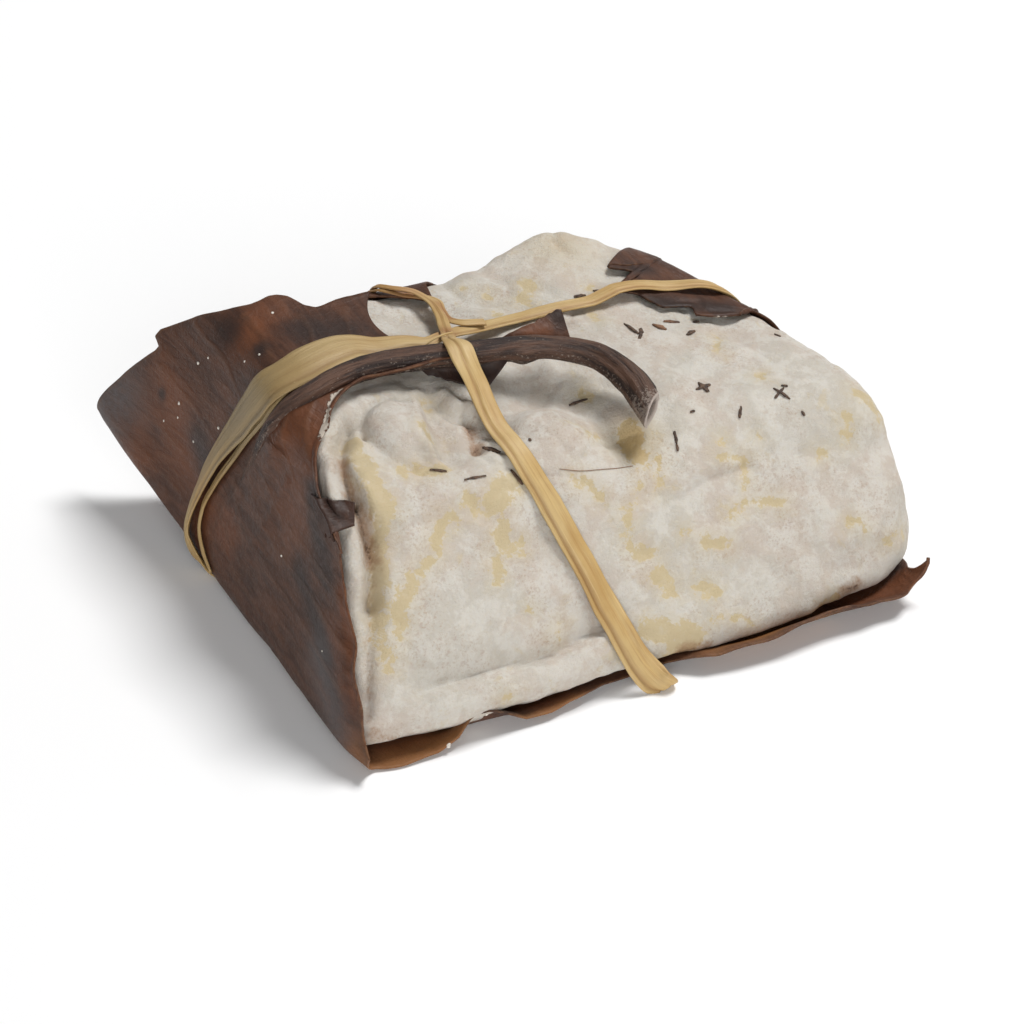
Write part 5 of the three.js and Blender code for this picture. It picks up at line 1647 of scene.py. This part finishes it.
def flake(start, end, width, seed):
    """A slip of bark: its middle line bows up from the rind between its ends, its sides curl down, and its
    width is a power of a sine along it, ragged at the sides."""
    from_here, normal = felt(np.array(start), cheese_alone)
    run = felt(np.array(end), cheese_alone)[0] - from_here
    length = np.linalg.norm(run)
    across_it = np.cross(normal, run / length)
    s, t = np.meshgrid(np.linspace(0, 1, FLAKE_ROWS), np.linspace(-0.5, 0.5, FLAKE_COLUMNS), indexing="ij")
    outline = width * np.sin(np.pi * (0.06 + 0.88 * s)) ** 0.55
    outline = outline * (0.8 + 0.7 * cloud(np.stack([s * length, t, 0 * s], -1), 0.5, seed))
    rise = FLAKE_LIFT + FLAKE_BOW * length * s * (1 - s) - FLAKE_CURL * width * t * t
    rise = rise + 0.05 * cloud(np.stack([s * 6, t * 3, 0 * s], -1), 1, seed)
    place = from_here + s[..., None] * run + (t * outline)[..., None] * across_it
    return place + rise[..., None] * normal


def joined(parts):
    """Several meshes as one: their places, and their faces numbered on from each other."""
    first = np.cumsum([0] + [len(places) for places, _ in parts[:-1]])
    faces = [own + start for (_, own), start in zip(parts, first)]
    return np.concatenate([places for places, _ in parts]), np.concatenate(faces)


slips = [flake(start, end, width, FIRST_FLAKE_SEED + k) for k, (start, end, width) in enumerate(FLAKES)]
points, faces = joined([sheet_mesh(slip, FLAKE_THICKNESS) for slip in slips])
FLAKE_DARK = linear(58, 42, 34)
FLAKE_BROWN = linear(104, 80, 62)
FLAKE_REDDISH = linear(156, 112, 78)
REDDISH_SPOTS = [(1.2, [(17.6, -1.9, 25.1)])]
flake_finish, flake_tree, flake_shader = new_material("bark_flake")
flake_grain = noise(flake_tree, in_millimetres(flake_tree), 2.4, 6, 0.7)
flake_colour = paint(flake_tree, FLAKE_DARK, FLAKE_BROWN, step(flake_tree, flake_grain, 0.4, 0.62))
flake_colour = paint(flake_tree, flake_colour, FLAKE_REDDISH, read(flake_tree, "reddish"))
flake_tree.links.new(flake_colour, flake_shader.inputs["Base Color"])
flake_tree.links.new(step(flake_tree, flake_grain, 0.3, 0.7, 0.6, 0.8), flake_shader.inputs["Roughness"])
flake_tree.links.new(bump(flake_tree, flake_grain, 0.2), flake_shader.inputs["Normal"])
flakes = new_piece("leaf_flakes", points, faces, flake_finish, {"reddish": spread(points, REDDISH_SPOTS)})

# A hair-thin fibre of the leaf, stuck across the front of the cheese: a single vein that stayed behind on
# the moist rind, so it follows every lump of it.
HAIR_PLACES = [
    [-6.9, -19.6, 21.9],
    [-4.7, -20.2, 21.3],
    [-2.3, -20.5, 20.9],
    [0.2, -20.6, 20.4],
    [1.9, -20.7, 20.2],
]
HAIR_RADIUS, HAIR_LIFT, HAIR_RINGS, HAIR_SIDES = 0.035, 0.05, 60, 6
HAIR_REDNESS = 0.6
hair_touches = [felt(spot, cheese_alone) for spot in smooth_line(HAIR_PLACES, HAIR_RINGS)]
hair_line = np.array([spot + HAIR_LIFT * normal for spot, normal in hair_touches])
points, faces, _ = tube_mesh(hair_line, HAIR_RADIUS, HAIR_SIDES)
hair = new_piece("leaf_fibre", points, faces, flake_finish, {"reddish": np.full(len(points), HAIR_REDNESS)})

# Crumbs of white rind that came off the cheese as it was wrapped and stuck to the dark leaf. Each is its
# place and its size.
CRUMBS = [
    (-33.5, 21.1, 17.4, 0.3),
    (-31.9, 19.4, 23.2, 0.28),
    (-33.8, 21.1, 15.6, 0.22),
    (-33.8, 17.2, 14.4, 0.2),
    (-32.9, 12.1, 18.6, 0.3),
    (-24.4, 13.6, 30, 0.24),
    (-35.2, -7.8, 13.2, 0.22),
    (-29.1, 8.2, 28.8, 0.24),
    (-31.4, 17.6, 24.6, 0.2),
    (-34.6, 24, 14, 0.18),
    (-30.2, 10, 27.4, 0.16),
    (-36.6, -21, 9.4, 0.16),
    (-28.6, -33.1, 0.9, 0.4),
    (-23.8, -32.7, 2.4, 0.26),
]
CRUMB_RINGS, CRUMB_SIDES = 9, 12
CRUMB_POLE = 0.02  # how far in radians the first and last ring lie from the poles
CRUMB_FLATNESS = 0.7
FIRST_CRUMB_SEED = 110


def crumb(x, y, z, size, seed):
    """A rounded crumb on the leaf: a flattened ball, its radius uneven by noise, half sunk on the surface."""
    spot, normal = felt(np.array([x, y, z], float), outermost)
    polar = np.linspace(CRUMB_POLE, np.pi - CRUMB_POLE, CRUMB_RINGS)
    polar, turn = np.meshgrid(polar, np.linspace(0, 2 * np.pi, CRUMB_SIDES, False), indexing="ij")
    ball = np.stack([np.sin(polar) * np.cos(turn), np.sin(polar) * np.sin(turn), np.cos(polar)], -1)
    ball = ball * (1 + 0.5 * cloud(ball + seed, 0.9, seed))[..., None] * size * 0.7
    first = np.cross(normal, [0.3, 0.2, 1])
    first /= np.linalg.norm(first)
    axes = np.stack([first, np.cross(normal, first), CRUMB_FLATNESS * normal])
    number, quads = ring_quads(CRUMB_RINGS, CRUMB_SIDES)
    poles = (number[0], number[-1, ::-1])
    caps = [pole[[0, k, k + 1, k + 2]] for pole in poles for k in range(1, CRUMB_SIDES - 2, 2)]
    return (spot + ball @ axes).reshape(-1, 3), np.concatenate([quads, caps])


points, faces = joined([crumb(*row, FIRST_CRUMB_SEED + k) for k, row in enumerate(CRUMBS)])
CRUMB_GREY = linear(204, 196, 184)
CRUMB_WHITE = linear(232, 226, 216)
crumb_finish, crumb_tree, crumb_shader = new_material("rind_crumb")
crumb_grain = noise(crumb_tree, in_millimetres(crumb_tree), 3, 5, 0.6)
crumb_colour = paint(crumb_tree, CRUMB_GREY, CRUMB_WHITE, step(crumb_tree, crumb_grain, 0.35, 0.65))
crumb_tree.links.new(crumb_colour, crumb_shader.inputs["Base Color"])
crumb_tree.links.new(bump(crumb_tree, crumb_grain, 0.15), crumb_shader.inputs["Normal"])
crumb_shader.inputs["Roughness"].default_value = 0.8
crumbs = new_piece("rind_crumbs", points, faces, crumb_finish)
